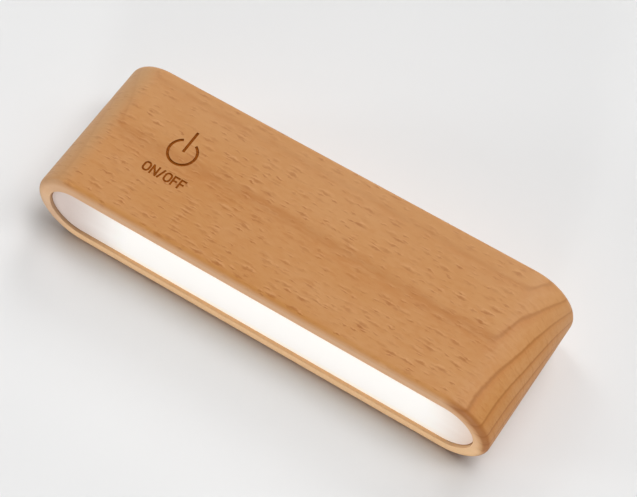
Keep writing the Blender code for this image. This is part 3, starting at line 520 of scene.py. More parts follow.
        # Painted light: the opening's inner wall takes the pale rim colour, as if lit by the diffuser.
        wall = recipe.times(recipe.span(reach, *self.wall_reach), self.wall_share)
        wall = recipe.times(wall, recipe.span(across, *self.wall_y))
        right, left = recipe.span(sideways, *self.right_x), recipe.span(sideways, *self.left_x)
        upper_right = recipe.times(right, recipe.span(rise, *self.right_rise))
        moved = recipe.sum("MULTIPLY_ADD", recipe.span(rise, *self.narrow_rise), self.narrowing, reach)
        # Painted light: the front rim is paler round the opening and narrower at the right end, with painted
        # shade above and at its lower left.
        rim = recipe.span(reach, *self.rim_shares)
        narrow = recipe.span(moved, *self.narrow_rim_shares)
        rim = recipe.sum("MULTIPLY_ADD", recipe.sum("SUBTRACT", narrow, rim), upper_right, rim)
        front = recipe.times(recipe.span(across, *self.front_y), rim)
        upper = recipe.span(rise, -self.opening_radius, self.opening_radius)
        front_painted_colour = recipe.mix(upper, self.front_wood, self.front_shaded)
        lower_left_shade = recipe.times(left, recipe.span(rise, *self.left_rise))
        front_painted_colour = recipe.mix(lower_left_shade, front_painted_colour, self.front_left)
        base = recipe.mix(recipe.sum("MAXIMUM", front, wall), base, front_painted_colour)
        # Painted shade: a dark band along the rounded front edge of the right end.
        band = recipe.times(upper_right, recipe.span(moved, *self.arris_shares))
        base = recipe.mix(recipe.times(band, recipe.span(across, *self.arris_y)), base, self.arris)
        rough = recipe.sum("MULTIPLY_ADD", dark, self.rough_fleck, recipe.span(streak, *self.rough))
        relief = recipe.times(pores, self.pore_depth_share)
        relief = recipe.sum("ADD", relief, recipe.times(dark, self.fleck_depth_share))
        normal = recipe.bump(relief, self.depth)
        recipe.set(Base_Color=base, Roughness=rough, Normal=normal, Specular_IOR_Level=self.specular)
        return recipe.material


@dataclass(frozen=True)
class BurntBeech:
    """Beech charred by the laser, with darker and paler streaks along the grain."""

    name: str = "burnt_beech"
    char: Colour = shade(116, 55, 5)
    brown: Colour = shade(158, 86, 20)
    streak_cell: Size = (2.2, 0.25, 0.25)
    depth: float = 0.03
    rough: Ramp = (*NOISE_WHOLE, 0.62, 0.85)
    specular: float = 0.08

    def material(self) -> bpy.types.Material:
        """Builds the material.

        Returns:
            The burnt material.
        """
        recipe = Recipe(self.name)
        streak = recipe.noise(recipe.place, self.streak_cell, ROUGH_LAYERS, ROUGH_SHARE)
        colour = recipe.mix(recipe.span(streak, *NOISE_MIDDLE), self.char, self.brown)
        rough, normal = recipe.span(streak, *self.rough), recipe.bump(streak, self.depth)
        recipe.set(Base_Color=colour, Roughness=rough, Normal=normal, Specular_IOR_Level=self.specular)
        return recipe.material


@dataclass(frozen=True)
class Opal:
    """Opal plastic, lit from behind by the strip and so dimmer towards its ends.

    Lengths are in millimetres.
    """

    name: str = "opal"
    base: Colour = (0.82, 0.8, 0.77, 1.0)
    # Painted shade: the ends' base colour, warmer at the right end.
    left_base: Colour = (0.64, 0.54, 0.5, 1.0)
    right_base: Colour = (0.67, 0.485, 0.38, 1.0)
    glow: Colour = (0.245, 0.243, 0.236, 1.0)
    # Painted light: a warm glow near the long edges stands for light bounced from the wood, and a strong glow
    # on the side faces for light leaking into the gap round the plate.
    edge_glow: Colour = (0.22, 0.17, 0.1, 1.0)
    end_glow: Colour = (0.03, 0.02, 0.012, 1.0)
    side_glow: Colour = (1.0, 0.86, 0.62, 1.0)
    lit_to: float = 62.0
    dim_from: float = 95.0
    brighter_to: float = 7.0
    middle_z: float = 19.0
    plate_half: float = 12.7
    edge_wide: float = 5.0
    side_wide: float = 0.25
    strength: float = 1.0
    grain: Size = (0.5, 0.5, 0.5)
    depth: float = 0.004
    rough: Ramp = (*NOISE_WHOLE, 0.48, 0.6)
    cloud: Size = (34.0, 8.0, 11.0)
    wander: float = 8.0

    def material(self) -> bpy.types.Material:
        """Builds the material.

        Returns:
            The opal material.
        """
        recipe = Recipe(self.name)
        along, _, height = recipe.axes(recipe.place)
        reach = recipe.sum("ABSOLUTE", recipe.sum("SUBTRACT", along, self.brighter_to))
        rise = recipe.sum("ABSOLUTE", recipe.sum("SUBTRACT", height, self.middle_z))
        # Painted light: warm glow at the plate's edges and sides.
        edge = recipe.span(rise, self.plate_half - self.edge_wide, self.plate_half)
        side = recipe.span(rise, self.plate_half - self.side_wide, self.plate_half - self.side_wide / 2)
        glow = recipe.mix(side, recipe.mix(edge, self.glow, self.edge_glow), self.side_glow)
        cloud = recipe.noise(recipe.place, self.cloud)
        reach = recipe.sum("SUBTRACT", reach, self.wander / 2)
        lit = recipe.span(recipe.sum("MULTIPLY_ADD", cloud, self.wander, reach), self.dim_from, self.lit_to)
        grain = recipe.noise(recipe.place, self.grain)
        # Painted shade: the base colour darkens towards the ends.
        end_shade = recipe.mix(recipe.span(along, -self.lit_to, self.lit_to), self.left_base, self.right_base)
        recipe.set(
            Base_Color=recipe.mix(lit, end_shade, self.base),
            Emission_Color=recipe.mix(lit, self.end_glow, glow),
            Emission_Strength=self.strength,
            Roughness=recipe.span(grain, *self.rough),
            Normal=recipe.bump(grain, self.depth),
        )
        return recipe.material


@dataclass(frozen=True)
class Moulded:
    """A moulded plastic with faint clouding and a fine tool texture.

    Lengths are in millimetres.
    """

    name: str
    colour: Colour
    cloud_colour: Colour
    roughness: float = 0.5
    grain: float = 0.3
    depth: float = 0.006
    cloud: float = 9.0
    smoother: float = 0.06
    rougher: float = 0.08

    def material(self) -> bpy.types.Material:
        """Builds the material.

        Returns:
            The plastic's material.
        """
        recipe = Recipe(self.name)
        grain = recipe.noise(recipe.place, (self.grain,) * 3, ROUGH_LAYERS, ROUGH_SHARE)
        cloud = recipe.noise(recipe.place, (self.cloud,) * 3)
        colour = recipe.mix(recipe.span(cloud, *NOISE_WIDE), self.colour, self.cloud_colour)
        least, most = self.roughness - self.smoother, self.roughness + self.rougher
        rough = recipe.span(grain, *NOISE_WHOLE, least, most)
        recipe.set(Base_Color=colour, Roughness=rough, Normal=recipe.bump(grain, self.depth))
        return recipe.material


@dataclass(frozen=True)
class Plated:
    """A plated or bright metal with drawing marks and a slight bloom.

    Lengths are in millimetres.
    """

    name: str
    colour: Colour
    bloom: Colour
    roughness: float = 0.28
    marks: Size = (4.0, 0.12, 0.12)
    depth: float = 0.002
    cloud: Size = (5.0, 5.0, 5.0)
    bloom_range: Pair = (0.3, 0.75)
    smoother: float = 0.07
    rougher: float = 0.1

    def material(self) -> bpy.types.Material:
        """Builds the material.

        Returns:
            The metal's material.
        """
        recipe = Recipe(self.name)
        marks = recipe.noise(recipe.place, self.marks, ROUGH_LAYERS, ROUGH_SHARE)
        cloud = recipe.noise(recipe.place, self.cloud)
        colour = recipe.mix(recipe.span(cloud, *self.bloom_range), self.colour, self.bloom)
        least, most = self.roughness - self.smoother, self.roughness + self.rougher
        rough = recipe.span(marks, *NOISE_WHOLE, least, most)
        recipe.set(Base_Color=colour, Metallic=1.0, Roughness=rough, Normal=recipe.bump(marks, self.depth))
        return recipe.material


@dataclass(frozen=True)
class Clear:
    """Clear moulded plastic with a faint milkiness."""

    name: str = "clear_plastic"
    colour: Colour = (0.86, 0.9, 0.9, 1.0)
    haze: Colour = (0.78, 0.83, 0.84, 1.0)
    cloud: Size = (1.2, 2.5, 1.2)
    rough: Ramp = (*NOISE_WHOLE, 0.16, 0.3)
    transmission_share: float = 0.45
    index: float = 1.49
    depth: float = 0.01

    def material(self) -> bpy.types.Material:
        """Builds the material.

        Returns:
            The clear plastic's material.
        """
        recipe = Recipe(self.name)
        cloud = recipe.noise(recipe.place, self.cloud)
        recipe.set(
            Base_Color=recipe.mix(recipe.span(cloud, *NOISE_WIDE), self.colour, self.haze),
            Roughness=recipe.span(cloud, *self.rough),
            Transmission_Weight=self.transmission_share,
            IOR=self.index,
            Normal=recipe.bump(cloud, self.depth),
        )
        return recipe.material


class Finish(Enum):
    """The finishes of the lamp, by the record's slot names."""

    BEECH = Beech()
    OPAL = Opal()
    WHITE_PLASTIC = Moulded("white_plastic", shade(238, 238, 235), shade(230, 230, 226), 0.42)
    WHITE_BOARD = Moulded("white_board", shade(236, 236, 233), shade(229, 230, 226), 0.4, 0.2, 0.004)
    LIGHT_CHIP = Moulded("light_chip", shade(243, 231, 159), shade(238, 220, 135), 0.25, 0.15, 0.004, 1.2)
    GREY_PLASTIC = Moulded("grey_plastic", shade(97, 97, 101), shade(90, 90, 94), 0.5, 0.25, 0.01)
    STEEL = Plated("steel", (0.62, 0.62, 0.62, 1.0), (0.54, 0.55, 0.56, 1.0))
    NICKEL = Plated("nickel", (0.66, 0.63, 0.58, 1.0), (0.58, 0.55, 0.5, 1.0), 0.24)
    CONTACT = Plated("contact", (0.78, 0.6, 0.3, 1.0), (0.7, 0.52, 0.26, 1.0), 0.22, (0.1, 3.0, 0.1))
    MAGNET = Plated("magnet", (0.68, 0.66, 0.62, 1.0), (0.6, 0.58, 0.54, 1.0), 0.2, (0.35, 0.35, 0.35), 0.001)
    CELL_SLEEVE = Moulded("cell_sleeve", (0.03, 0.12, 0.42, 1.0), (0.026, 0.1, 0.36, 1.0), 0.3, 1.6, 0.05)
    FOAM = Moulded("foam", (0.06, 0.06, 0.06, 1.0), (0.045, 0.045, 0.045, 1.0), 0.9, 0.4, 0.15)
    RED_LEAD = Moulded("red_lead", (0.6, 0.03, 0.02, 1.0), (0.52, 0.025, 0.018, 1.0), 0.4)
    BLACK_LEAD = Moulded("black_lead", (0.02, 0.02, 0.02, 1.0), (0.028, 0.027, 0.026, 1.0), 0.4)
    GREEN_BOARD = Moulded("green_board", (0.03, 0.16, 0.07, 1.0), (0.024, 0.13, 0.055, 1.0), 0.3, 0.5, 0.01)
    BLACK_PLASTIC = Moulded("black_plastic", (0.02, 0.02, 0.02, 1.0), (0.028, 0.028, 0.028, 1.0), 0.55, 0.1)
    FERRITE = Moulded("ferrite", (0.1, 0.1, 0.1, 1.0), (0.08, 0.08, 0.085, 1.0), 0.6, 0.2, 0.01)
    CERAMIC = Moulded("ceramic", (0.42, 0.3, 0.16, 1.0), (0.36, 0.25, 0.13, 1.0), 0.35, 0.15)
    CLEAR_PLASTIC = Clear()

    def made(self) -> bpy.types.Material:
        """Gives the finish's material, and builds it the first time.

        Returns:
            The material.
        """
        name = f"{self.name.lower()}{FINISH_ENDING}"
        return bpy.data.materials.get(name) or self.value.material()


def solid(name: str, bm: BMesh, *materials: bpy.types.Material, merge: bool = True) -> bpy.types.Object:
    """Turns a bmesh into an object of the scene.

    Args:
        name: Name of the object.
        bm: The finished bmesh, which is freed.
        materials: Materials in the order of their slots.
        merge: Whether corners at one place are joined.

    Returns:
        The object, at the origin.
    """
    if merge:
        bmesh.ops.remove_doubles(bm, verts=bm.verts[:], dist=MERGE_DISTANCE)
    bmesh.ops.recalc_face_normals(bm, faces=bm.faces[:])
    mesh = bpy.data.meshes.new(name)
    bm.to_mesh(mesh)
    bm.free()
    for material in materials:
        mesh.materials.append(material)
    piece = bpy.data.objects.new(name, mesh)
    bpy.context.scene.collection.objects.link(piece)
    return piece


def smooth(piece: bpy.types.Object) -> None:
    """Shades a piece smooth between its sharp edges, with its large faces flat.

    Args:
        piece: The piece.
    """
    piece.data.shade_smooth()
    piece.data.set_sharp_from_angle(angle=SHARP_ANGLE)
    modifier = piece.modifiers.new("weighted normal", "WEIGHTED_NORMAL")
    modifier.keep_sharp = True


def cut(piece: bpy.types.Object, cutter: bpy.types.Object, crossing: bool = False) -> None:
    """Cuts one solid out of another and keeps the result in the piece's mesh.

    Args:
        piece: The piece that is cut.
        cutter: The solid taken away, which is deleted.
        crossing: Whether the cutter's own parts cross.
    """
    modifier = piece.modifiers.new("cut", "BOOLEAN")
    modifier.operation = "DIFFERENCE"
    modifier.solver = "EXACT"
    modifier.material_mode = "INDEX"
    modifier.use_self = crossing
    modifier.object = cutter
    bpy.context.view_layer.update()
    evaluated = piece.evaluated_get(bpy.context.evaluated_depsgraph_get())
    result = bpy.data.meshes.new_from_object(evaluated)
    bm = bmesh.new()
    bm.from_mesh(result)
    bmesh.ops.remove_doubles(bm, verts=bm.verts[:], dist=MERGE_DISTANCE)
    bmesh.ops.dissolve_degenerate(bm, edges=bm.edges[:], dist=MERGE_DISTANCE)
    bm.to_mesh(result)
    bm.free()
    piece.modifiers.remove(modifier)
    old, name = piece.data, piece.data.name
    piece.data = result
    bpy.data.meshes.remove(old)
    result.name = name
    bpy.data.objects.remove(cutter)


def dress(piece: bpy.types.Object, slot: str, *replaced: str) -> None:
    """Fixes a piece to the body and hides the CAD nodes that it stands for.

    Args:
        piece: The finished piece.
        slot: The record's material slot, not used.
        replaced: CAD nodes that the piece replaces.
    """
    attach(piece, BODY)
    if replaced:
        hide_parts(*replaced)
    log.info("%s: %d faces", piece.name, len(piece.data.polygons))


def finished(name: str, bm: BMesh, slot: str, node: str, *finishes: Finish) -> None:
    """Turns a bmesh into a smooth piece that stands for a CAD node, and dresses it.

    Args:
        name: Name of the piece.
        bm: The finished bmesh, which is freed.
        slot: The record's material slot.
        node: CAD node that the piece replaces.
        finishes: Its finishes, or none for the slot's own.
    """
    chosen = finishes or (Finish[slot.upper()],)
    piece = solid(name, bm, *(finish.made() for finish in chosen))
    smooth(piece)
    dress(piece, slot, node)


def shift(bm: BMesh, move: Place) -> None:
    """Moves the whole of a bmesh."""
    bmesh.ops.translate(bm, verts=bm.verts[:], vec=move)


def lay(bm: BMesh, place: Matrix) -> None:
    """Turns and moves the whole of a bmesh."""
    bmesh.ops.transform(bm, matrix=place, verts=bm.verts[:])


def bevel(
    bm: BMesh, geometry: list, width: float, steps: int, affect: str = "EDGES", clamp: bool = False
) -> None:
    """Rounds edges, or the corners of a flat face.

    Args:
        bm: The bmesh.
        geometry: The edges or corners.
        width: Width of the rounding.
        steps: Number of its segments.
        affect: EDGES or VERTICES.
        clamp: Whether it stops short of meeting another rounding.
    """
    bmesh.ops.bevel(
        bm,
        geom=geometry,
        offset=width,
        affect=affect,
        segments=steps,
        profile=ROUND_PROFILE,
        material=-1,
        clamp_overlap=clamp,
    )


def stadium(bm: BMesh, length: float, height: float, y: float, steps: int) -> BMFace:
    """Adds an upright flat face with full round ends, across the Y axis.

    Its flats and its ends lie just where the true outline lies, and its corners a little outside.

    Args:
        bm: The bmesh that takes it.
        length: Size along X.
        height: Size along Z.
        y: Place along Y.
        steps: Number of corners, a multiple of four.

    Returns:
        The new face.
    """
    half_step = math.pi / steps
    made = bmesh.ops.create_circle(bm, cap_ends=True, segments=steps, radius=height / 2 / math.cos(half_step))
    verts = made["verts"]
    turn = Matrix.Rotation(QUARTER, 3, "X") @ Matrix.Rotation(half_step, 3, "Z")
    bmesh.ops.rotate(bm, verts=verts, cent=(0, 0, 0), matrix=turn)
    for side in (-1, 1):
        end = [vert for vert in verts if vert.co.x * side > 0]
        bmesh.ops.translate(bm, verts=end, vec=(side * (length - height) / 2, 0, 0))
    bmesh.ops.translate(bm, verts=verts, vec=(0, y, 0))
    return verts[0].link_faces[0]


def pull(bm: BMesh, face: BMFace, move: Place) -> BMFace:
    """Extrudes a face and moves the new face.

    Args:
        bm: The bmesh.
        face: The face.
        move: How far the new face moves.

    Returns:
        The new face.
    """
    attached = any(len(edge.link_faces) > 1 for edge in face.edges)
    made = bmesh.ops.extrude_face_region(bm, geom=[face])["geom"]
    bmesh.ops.translate(bm, verts=[item for item in made if isinstance(item, BMVert)], vec=move)
    if attached:
        bmesh.ops.delete(bm, geom=[face], context="FACES_ONLY")
    return next(item for item in made if isinstance(item, BMFace))


def inset(bm: BMesh, face: BMFace, width: float) -> BMFace:
    """Insets a face by an even width and gives back the inner face."""
    bmesh.ops.inset_region(bm, faces=[face], thickness=width, use_even_offset=True)
    return face


def soften(bm: BMesh, face: BMFace, width: float, steps: int = EDGE_STEPS) -> None:
    """Rounds the edges round a face."""
    bevel(bm, list(face.edges), width, steps, clamp=True)


def flattest(bm: BMesh, at: float, axis: int = 1) -> BMFace:
    """Finds the largest face that lies across an axis, Y by default, at a place."""
    near = [face for face in bm.faces if all(abs(vert.co[axis] - at) < MERGE_DISTANCE for vert in face.verts)]
    return max(near, key=lambda face: face.calc_area())


def joined(bm: BMesh, other: BMesh, place: Matrix = Matrix.Identity(4)) -> None:
    """Moves one bmesh's shapes into another.

    Args:
        bm: The bmesh that takes them.
        other: The bmesh that is emptied and freed.
        place: Where they go.
    """
    lay(other, place)
    carrier = bpy.data.meshes.new("passing")
    other.to_mesh(carrier)
    other.free()
    bm.from_mesh(carrier)
    bpy.data.meshes.remove(carrier)


@dataclass
class Block:
    """The beech block with its lit opening, bay, holes and burnt touch mark."""

    length: float = 0.200
    depth: float = 0.065
    height: float = 0.038
    front_edge: float = 0.0025
    back_edge: float = 0.003
    rim: float = 0.006
    ledge_deep: float = 0.004
    ledge: float = 0.001
    chamber_deep: float = 0.019
    bay_length: float = 0.170
    bay_height: float = 0.0235
    bay_corner: float = 0.003
    back_wall: float = 0.006
    port: Pair = (0.016, 0.0102)
    port_x: float = -0.0579
    pipe_x: float = -0.0464
    pipe_hole: float = 0.0015
    pilot_x: float = 0.089
    pilot_radius: float = 0.00175
    pilot_deep: float = 0.012
    magnet_x: float = 0.062
    magnet_radius: float = 0.0063
    magnet_deep: float = 0.0028
    overrun: float = 0.002
    round_steps: int = 160
    small_steps: int = 48
    edge_steps: int = 8

    def shell(self) -> bpy.types.Object:
        """Makes the block with its opening down to the shoulder.

        Returns:
            The block.
        """
        bm = bmesh.new()
        front, back = -self.depth / 2, self.depth / 2
        face = stadium(bm, self.length, self.height, front, self.round_steps)
        pull(bm, face, (0, self.depth, 0))
        soften(bm, flattest(bm, front), self.front_edge, self.edge_steps)
        soften(bm, flattest(bm, back), self.back_edge, self.edge_steps)
        opening = inset(bm, flattest(bm, front), self.rim - self.front_edge)
        ledge = pull(bm, opening, (0, self.ledge_deep, 0))
        chamber = inset(bm, ledge, self.ledge)
        pull(bm, chamber, (0, self.chamber_deep - self.ledge_deep, 0))
        shift(bm, (0, 0, self.height / 2))
        return solid("beech_block", bm, Finish.BEECH.made(), BurntBeech().material())

    def rod(self, radius: float, low: Place, length: float, axis: str) -> bpy.types.Object:
        """Makes a round cutter.

        Args:
            radius: Its radius.
            low: Middle of its lower end.
            length: Its length.
            axis: The axis that it lies along, Y or Z.

        Returns:
            The cutter.
        """
        bm = bmesh.new()
        made = bmesh.ops.create_circle(bm, cap_ends=True, segments=self.small_steps, radius=radius)
        pull(bm, made["verts"][0].link_faces[0], (0, 0, length))
        turn = Matrix.Rotation(-QUARTER, 4, "X") if axis == "Y" else Matrix.Identity(4)
        lay(bm, Matrix.Translation(low) @ turn)
        return solid("rod_cutter", bm)

    def hollow(self, block: bpy.types.Object) -> None:
        """Cuts the bay, the charging hole, the light pipe's hole, pilots and magnet seats.

        Args:
            block: The block.
        """
        middle, back = self.height / 2, self.depth / 2
        shoulder = -self.depth / 2 + self.chamber_deep
        bm = bmesh.new()
        made = bmesh.ops.create_grid(bm, x_segments=1, y_segments=1, size=GRID_HALF)
        bmesh.ops.scale(bm, verts=made["verts"], vec=(self.bay_length, self.bay_height, 1))
        bevel(bm, made["verts"], self.bay_corner, self.edge_steps, affect="VERTICES")
        bmesh.ops.rotate(bm, verts=bm.verts[:], cent=(0, 0, 0), matrix=Matrix.Rotation(QUARTER, 3, "X"))
        shift(bm, (0, shoulder - self.overrun, middle))
        bm.faces.ensure_lookup_table()
        pull(bm, bm.faces[0], (0, back - self.back_wall - shoulder + self.overrun, 0))
        cut(block, solid("bay_cutter", bm))
        bm = bmesh.new()
        start, through = back - self.back_wall - self.overrun, self.back_wall + 2 * self.overrun
        face = stadium(bm, *self.port, start, self.small_steps)
        pull(bm, face, (0, through, 0))
        shift(bm, (self.port_x, 0, middle))
        cut(block, solid("port_cutter", bm))
        cut(block, self.rod(self.pipe_hole, (self.pipe_x, start, middle), through, "Y"))
        for side in (-1, 1):
            low = (side * self.pilot_x, shoulder - self.overrun, middle)
            cut(block, self.rod(self.pilot_radius, low, self.pilot_deep + self.overrun, "Y"))
            low = (side * self.magnet_x, 0, -self.overrun)
            cut(block, self.rod(self.magnet_radius, low, self.magnet_deep + self.overrun, "Z"))

    def build(self) -> None:
        """Makes the block, burns its mark and dresses it."""
        block = self.shell()
        self.hollow(block)
        cut(block, TouchMark(top=self.height).cutter(), crossing=True)
        smooth(block)
        dress(block, "beech", "wood_body")


@dataclass
class TouchMark:
    """The power ring, its bar and the generic word under it, burnt into the top."""

    top: float = 0.038
    centre: Pair = (-0.0561, 0.0033)
    deep: float = 0.0004
    word_deep: float = 0.0002
    overrun: float = 0.001
    stroke: float = 0.00112
    ring_radius: float = 0.0057
    ring_opening: float = math.radians(58)
    ring_steps: int = 72
    bar_low: float = 0.0003
    bar_length: float = 0.0103
    word_drop: float = 0.01455
    word_height: float = 0.0045
    word_stroke: float = 0.00081
    letter_space: float = 0.00027
    o_width: float = 0.0033
    n_width: float = 0.0032
    slash_width: float = 0.0022
    f_width: float = 0.0027
    arm_low_share: float = 0.5
    arm_share: float = 0.85
    round_steps: int = 32

    def stripe(self, bm: BMesh, start: Pair, end: Pair, width: float) -> None:
        """Adds one straight stroke.

        Args:
            bm: The bmesh.
            start: Its start, in the plane of the top.
            end: Its end.
            width: Its width.
        """
        first, last = Vector((*start, 0)), Vector((*end, 0))
        run = last - first
        made = bmesh.ops.create_grid(bm, x_segments=1, y_segments=1, size=GRID_HALF)
        turn = Matrix.Rotation(math.atan2(run.y, run.x), 4, "Z")
        scale = Matrix.Diagonal((run.length, width, 1, 1))
        place = Matrix.Translation((first + last) / 2) @ turn @ scale
        bmesh.ops.transform(bm, matrix=place, verts=made["verts"])
        self.sink(bm, made["verts"][0].link_faces[:])

    def sink(self, bm: BMesh, faces: Sequence[BMFace]) -> None:
        """Gives flat faces at height nought the depth of the groove.

        Args:
            bm: The bmesh.
            faces: The flat faces.
        """
        made = bmesh.ops.extrude_face_region(bm, geom=list(faces))["geom"]
        lift = [item for item in made if isinstance(item, BMVert)]
        bmesh.ops.translate(bm, verts=lift, vec=(0, 0, self.deep + self.overrun))

    def ring(self, bm: BMesh) -> None:
        """Adds the ring's stroke to an empty bmesh.

        Args:
            bm: The bmesh.
        """
        first = bm.verts.new((self.ring_radius - self.stroke / 2, 0, 0))
        last = bm.verts.new((self.ring_radius + self.stroke / 2, 0, 0))
        edge = bm.edges.new((first, last))
        turn = Matrix.Rotation(QUARTER + self.ring_opening / 2, 3, "Z")
        bmesh.ops.rotate(bm, verts=[first, last], cent=(0, 0, 0), matrix=turn)
        bmesh.ops.spin(
            bm,
            geom=[first, last, edge],
            cent=(0, 0, 0),
            axis=(0, 0, 1),
            angle=2 * math.pi - self.ring_opening,
            steps=self.ring_steps,
            use_merge=False,
        )
        self.sink(bm, bm.faces[:])

    def word(self, bm: BMesh) -> None:
        """Adds the letters of ON/OFF as strokes.

        Args:
            bm: The bmesh.
        """
        wide, high, half = self.word_stroke, self.word_height, self.word_stroke / 2
        widths = (self.o_width, self.n_width, self.slash_width, self.o_width, self.f_width, self.f_width)
        left = -(sum(widths) + self.letter_space * (len(widths) - 1)) / 2
        base = -self.word_drop
        for letter, width in zip("ON/OFF", widths):
            right = left + width
            if letter == "O":
                ring = bmesh.new()
                sleeve(ring, (high, width), wide, 0, self.deep + self.overrun, self.round_steps)
                upright = Matrix(((0, 0, 1, 0), (1, 0, 0, 0), (0, 1, 0, 0), (0, 0, 0, 1)))
                joined(bm, ring, Matrix.Translation((left + width / 2, base + high / 2, 0)) @ upright)
            if letter == "N":
                for x in (left + half, right - half):
                    self.stripe(bm, (x, base), (x, base + high), wide)
                self.stripe(bm, (left + half, base + high - half), (right - half, base + half), wide)
            if letter == "/":
                self.stripe(bm, (left + half, base), (right - half, base + high), wide)
            if letter == "F":
                self.stripe(bm, (left + half, base), (left + half, base + high), wide)
                self.stripe(bm, (left, base + high - half), (right, base + high - half), wide)
                arm = base + high * self.arm_low_share
                self.stripe(bm, (left, arm), (left + width * self.arm_share, arm), wide)
            left = right + self.letter_space

    def cutter(self) -> bpy.types.Object:
        """Makes the solid that burns the whole mark.

        Returns:
            The cutter, whose faces take the second material.
        """
        bm = bmesh.new()
        self.ring(bm)
        self.stripe(bm, (0, self.bar_low), (0, self.bar_low + self.bar_length), self.stroke)
        before = set(bm.verts)
        self.word(bm)
        letters = [vert for vert in bm.verts if vert not in before]
        bmesh.ops.translate(bm, verts=letters, vec=(0, 0, self.deep - self.word_deep))
        for face in bm.faces:
            face.material_index = 1
        shift(bm, (*self.centre, self.top - self.deep))
        return solid("mark_cutter", bm, merge=False)


@dataclass
class Diffuser:
    """The opal plate behind the rim, with the spigot that enters the chamber."""

    plate: Pair = (0.1874, 0.0254)
    front: float = -0.0313
    thick: float = 0.0025
    edge: float = 0.0003
    step: float = 0.001
    spigot_deep: float = 0.0025
    spigot_wall: float = 0.0012
    middle: float = 0.019
    round_steps: int = 128

    def build(self) -> None:
        """Makes and dresses the diffuser."""
        bm = bmesh.new()
        face = stadium(bm, *self.plate, self.front, self.round_steps)
        back = pull(bm, face, (0, self.thick, 0))
        back = inset(bm, back, self.step)
        tip = pull(bm, back, (0, self.spigot_deep, 0))
        hollow = inset(bm, tip, self.spigot_wall)
        pull(bm, hollow, (0, -self.spigot_deep, 0))
        soften(bm, flattest(bm, self.front), self.edge)
        shift(bm, (0, 0, self.middle))
        finished("opal_diffuser", bm, "opal", "diffuser")


def sleeve(bm: BMesh, size: Pair, wall: float, low: float, high: float, steps: int) -> None:
    """Adds a round-ended tube along the Y axis, open at both ends.

    Args:
        bm: The bmesh that takes it.
        size: Outer length and height.
        wall: Thickness of the wall.
        low: Its lower place along Y.
        high: Its upper place along Y.
        steps: Number of corners round it.
    """
    face = stadium(bm, *size, low, steps)
    pull(bm, face, (0, high - low, 0))
    rims = []
    for y in (low, high):
        hole = inset(bm, flattest(bm, y), wall)
        rims += list(hole.edges)
        bmesh.ops.delete(bm, geom=[hole], context="FACES_ONLY")
    bmesh.ops.bridge_loops(bm, edges=rims)


def turned(profile: Sequence[Pair], steps: int) -> BMesh:
    """Spins a profile about the Z axis into a solid.

    Args:
        profile: Points as radius and height, with both ends on the axis.
        steps: Number of corners round it.

    Returns:
        The solid's bmesh.
    """
    bm = bmesh.new()
    verts = [bm.verts.new((radius, 0, height)) for radius, height in profile]
    edges = [bm.edges.new(pair) for pair in zip(verts, verts[1:])]
    bmesh.ops.spin(
        bm,
        geom=verts + edges,
        cent=(0, 0, 0),
        axis=(0, 0, 1),
        angle=2 * math.pi,
        steps=steps,
        use_merge=True,
    )
    bmesh.ops.remove_doubles(bm, verts=bm.verts[:], dist=MERGE_DISTANCE)
    return bm


def round_off(bm: BMesh, rims: Sequence[Pair], width: float, steps: int) -> None:
    """Rounds circular edges about the Z axis.

    Args:
        bm: The bmesh.
        rims: The edges' radius and height.
        width: Width of the rounding.
        steps: Number of its segments.
    """
    for radius, height in rims:
        edges = [
            edge
            for edge in bm.edges
            if all(
                abs(vert.co.z - height) < MERGE_DISTANCE and abs(vert.co.xy.length - radius) < MERGE_DISTANCE
                for vert in edge.verts
            )
        ]
        bevel(bm, edges, width, steps)


def drum(radius: float, low: float, high: float, steps: int) -> BMesh:
    """Makes a closed cylinder about the Z axis between two heights."""
    return turned([(0, low), (radius, low), (radius, high), (0, high)], steps)


def brick(bm: BMesh, low: Place, high: Place, edge: float = 0.0, steps: int = 2) -> None:
    """Adds a box between two corners, with rounded edges.

    Args:
        bm: The bmesh that takes it.
        low: Its lowest corner.
        high: Its highest corner.
        edge: Radius of its edges, or nought.
        steps: Number of segments in each edge.
    """
    piece = bmesh.new()
    made = bmesh.ops.create_cube(piece, size=1)
    first, last = Vector(low), Vector(high)
    bmesh.ops.scale(piece, verts=made["verts"], vec=last - first)
    bmesh.ops.translate(piece, verts=made["verts"], vec=(first + last) / 2)
    if edge:
        bevel(piece, piece.edges[:], edge, steps)
    joined(bm, piece)


def skinned(bm: BMesh, sections: Sequence[Size], steps: int) -> None:
    """Bridges round-ended loops along the Y axis into a closed ring.

    The loops stand apart while they are bridged, because two loops in one plane would be joined crosswise.

    Args:
        bm: The bmesh that takes it.
        sections: Length, height and place along Y of each loop.
        steps: Number of corners of each loop.
    """
    apart = max(length for length, _, _ in sections)
    loops = []
    corners = []
    for index, (length, height, _) in enumerate(sections):
        face = stadium(bm, length, height, index * apart, steps)
        loops.append(list(face.edges))
        corners.append(list(face.verts))
        bmesh.ops.delete(bm, geom=[face], context="FACES_ONLY")
    for low, high in zip(loops, loops[1:] + loops[:1]):
        bmesh.ops.bridge_loops(bm, edges=low + high)
    for index, (_, _, y) in enumerate(sections):
        bmesh.ops.translate(bm, verts=corners[index], vec=(0, y - index * apart, 0))


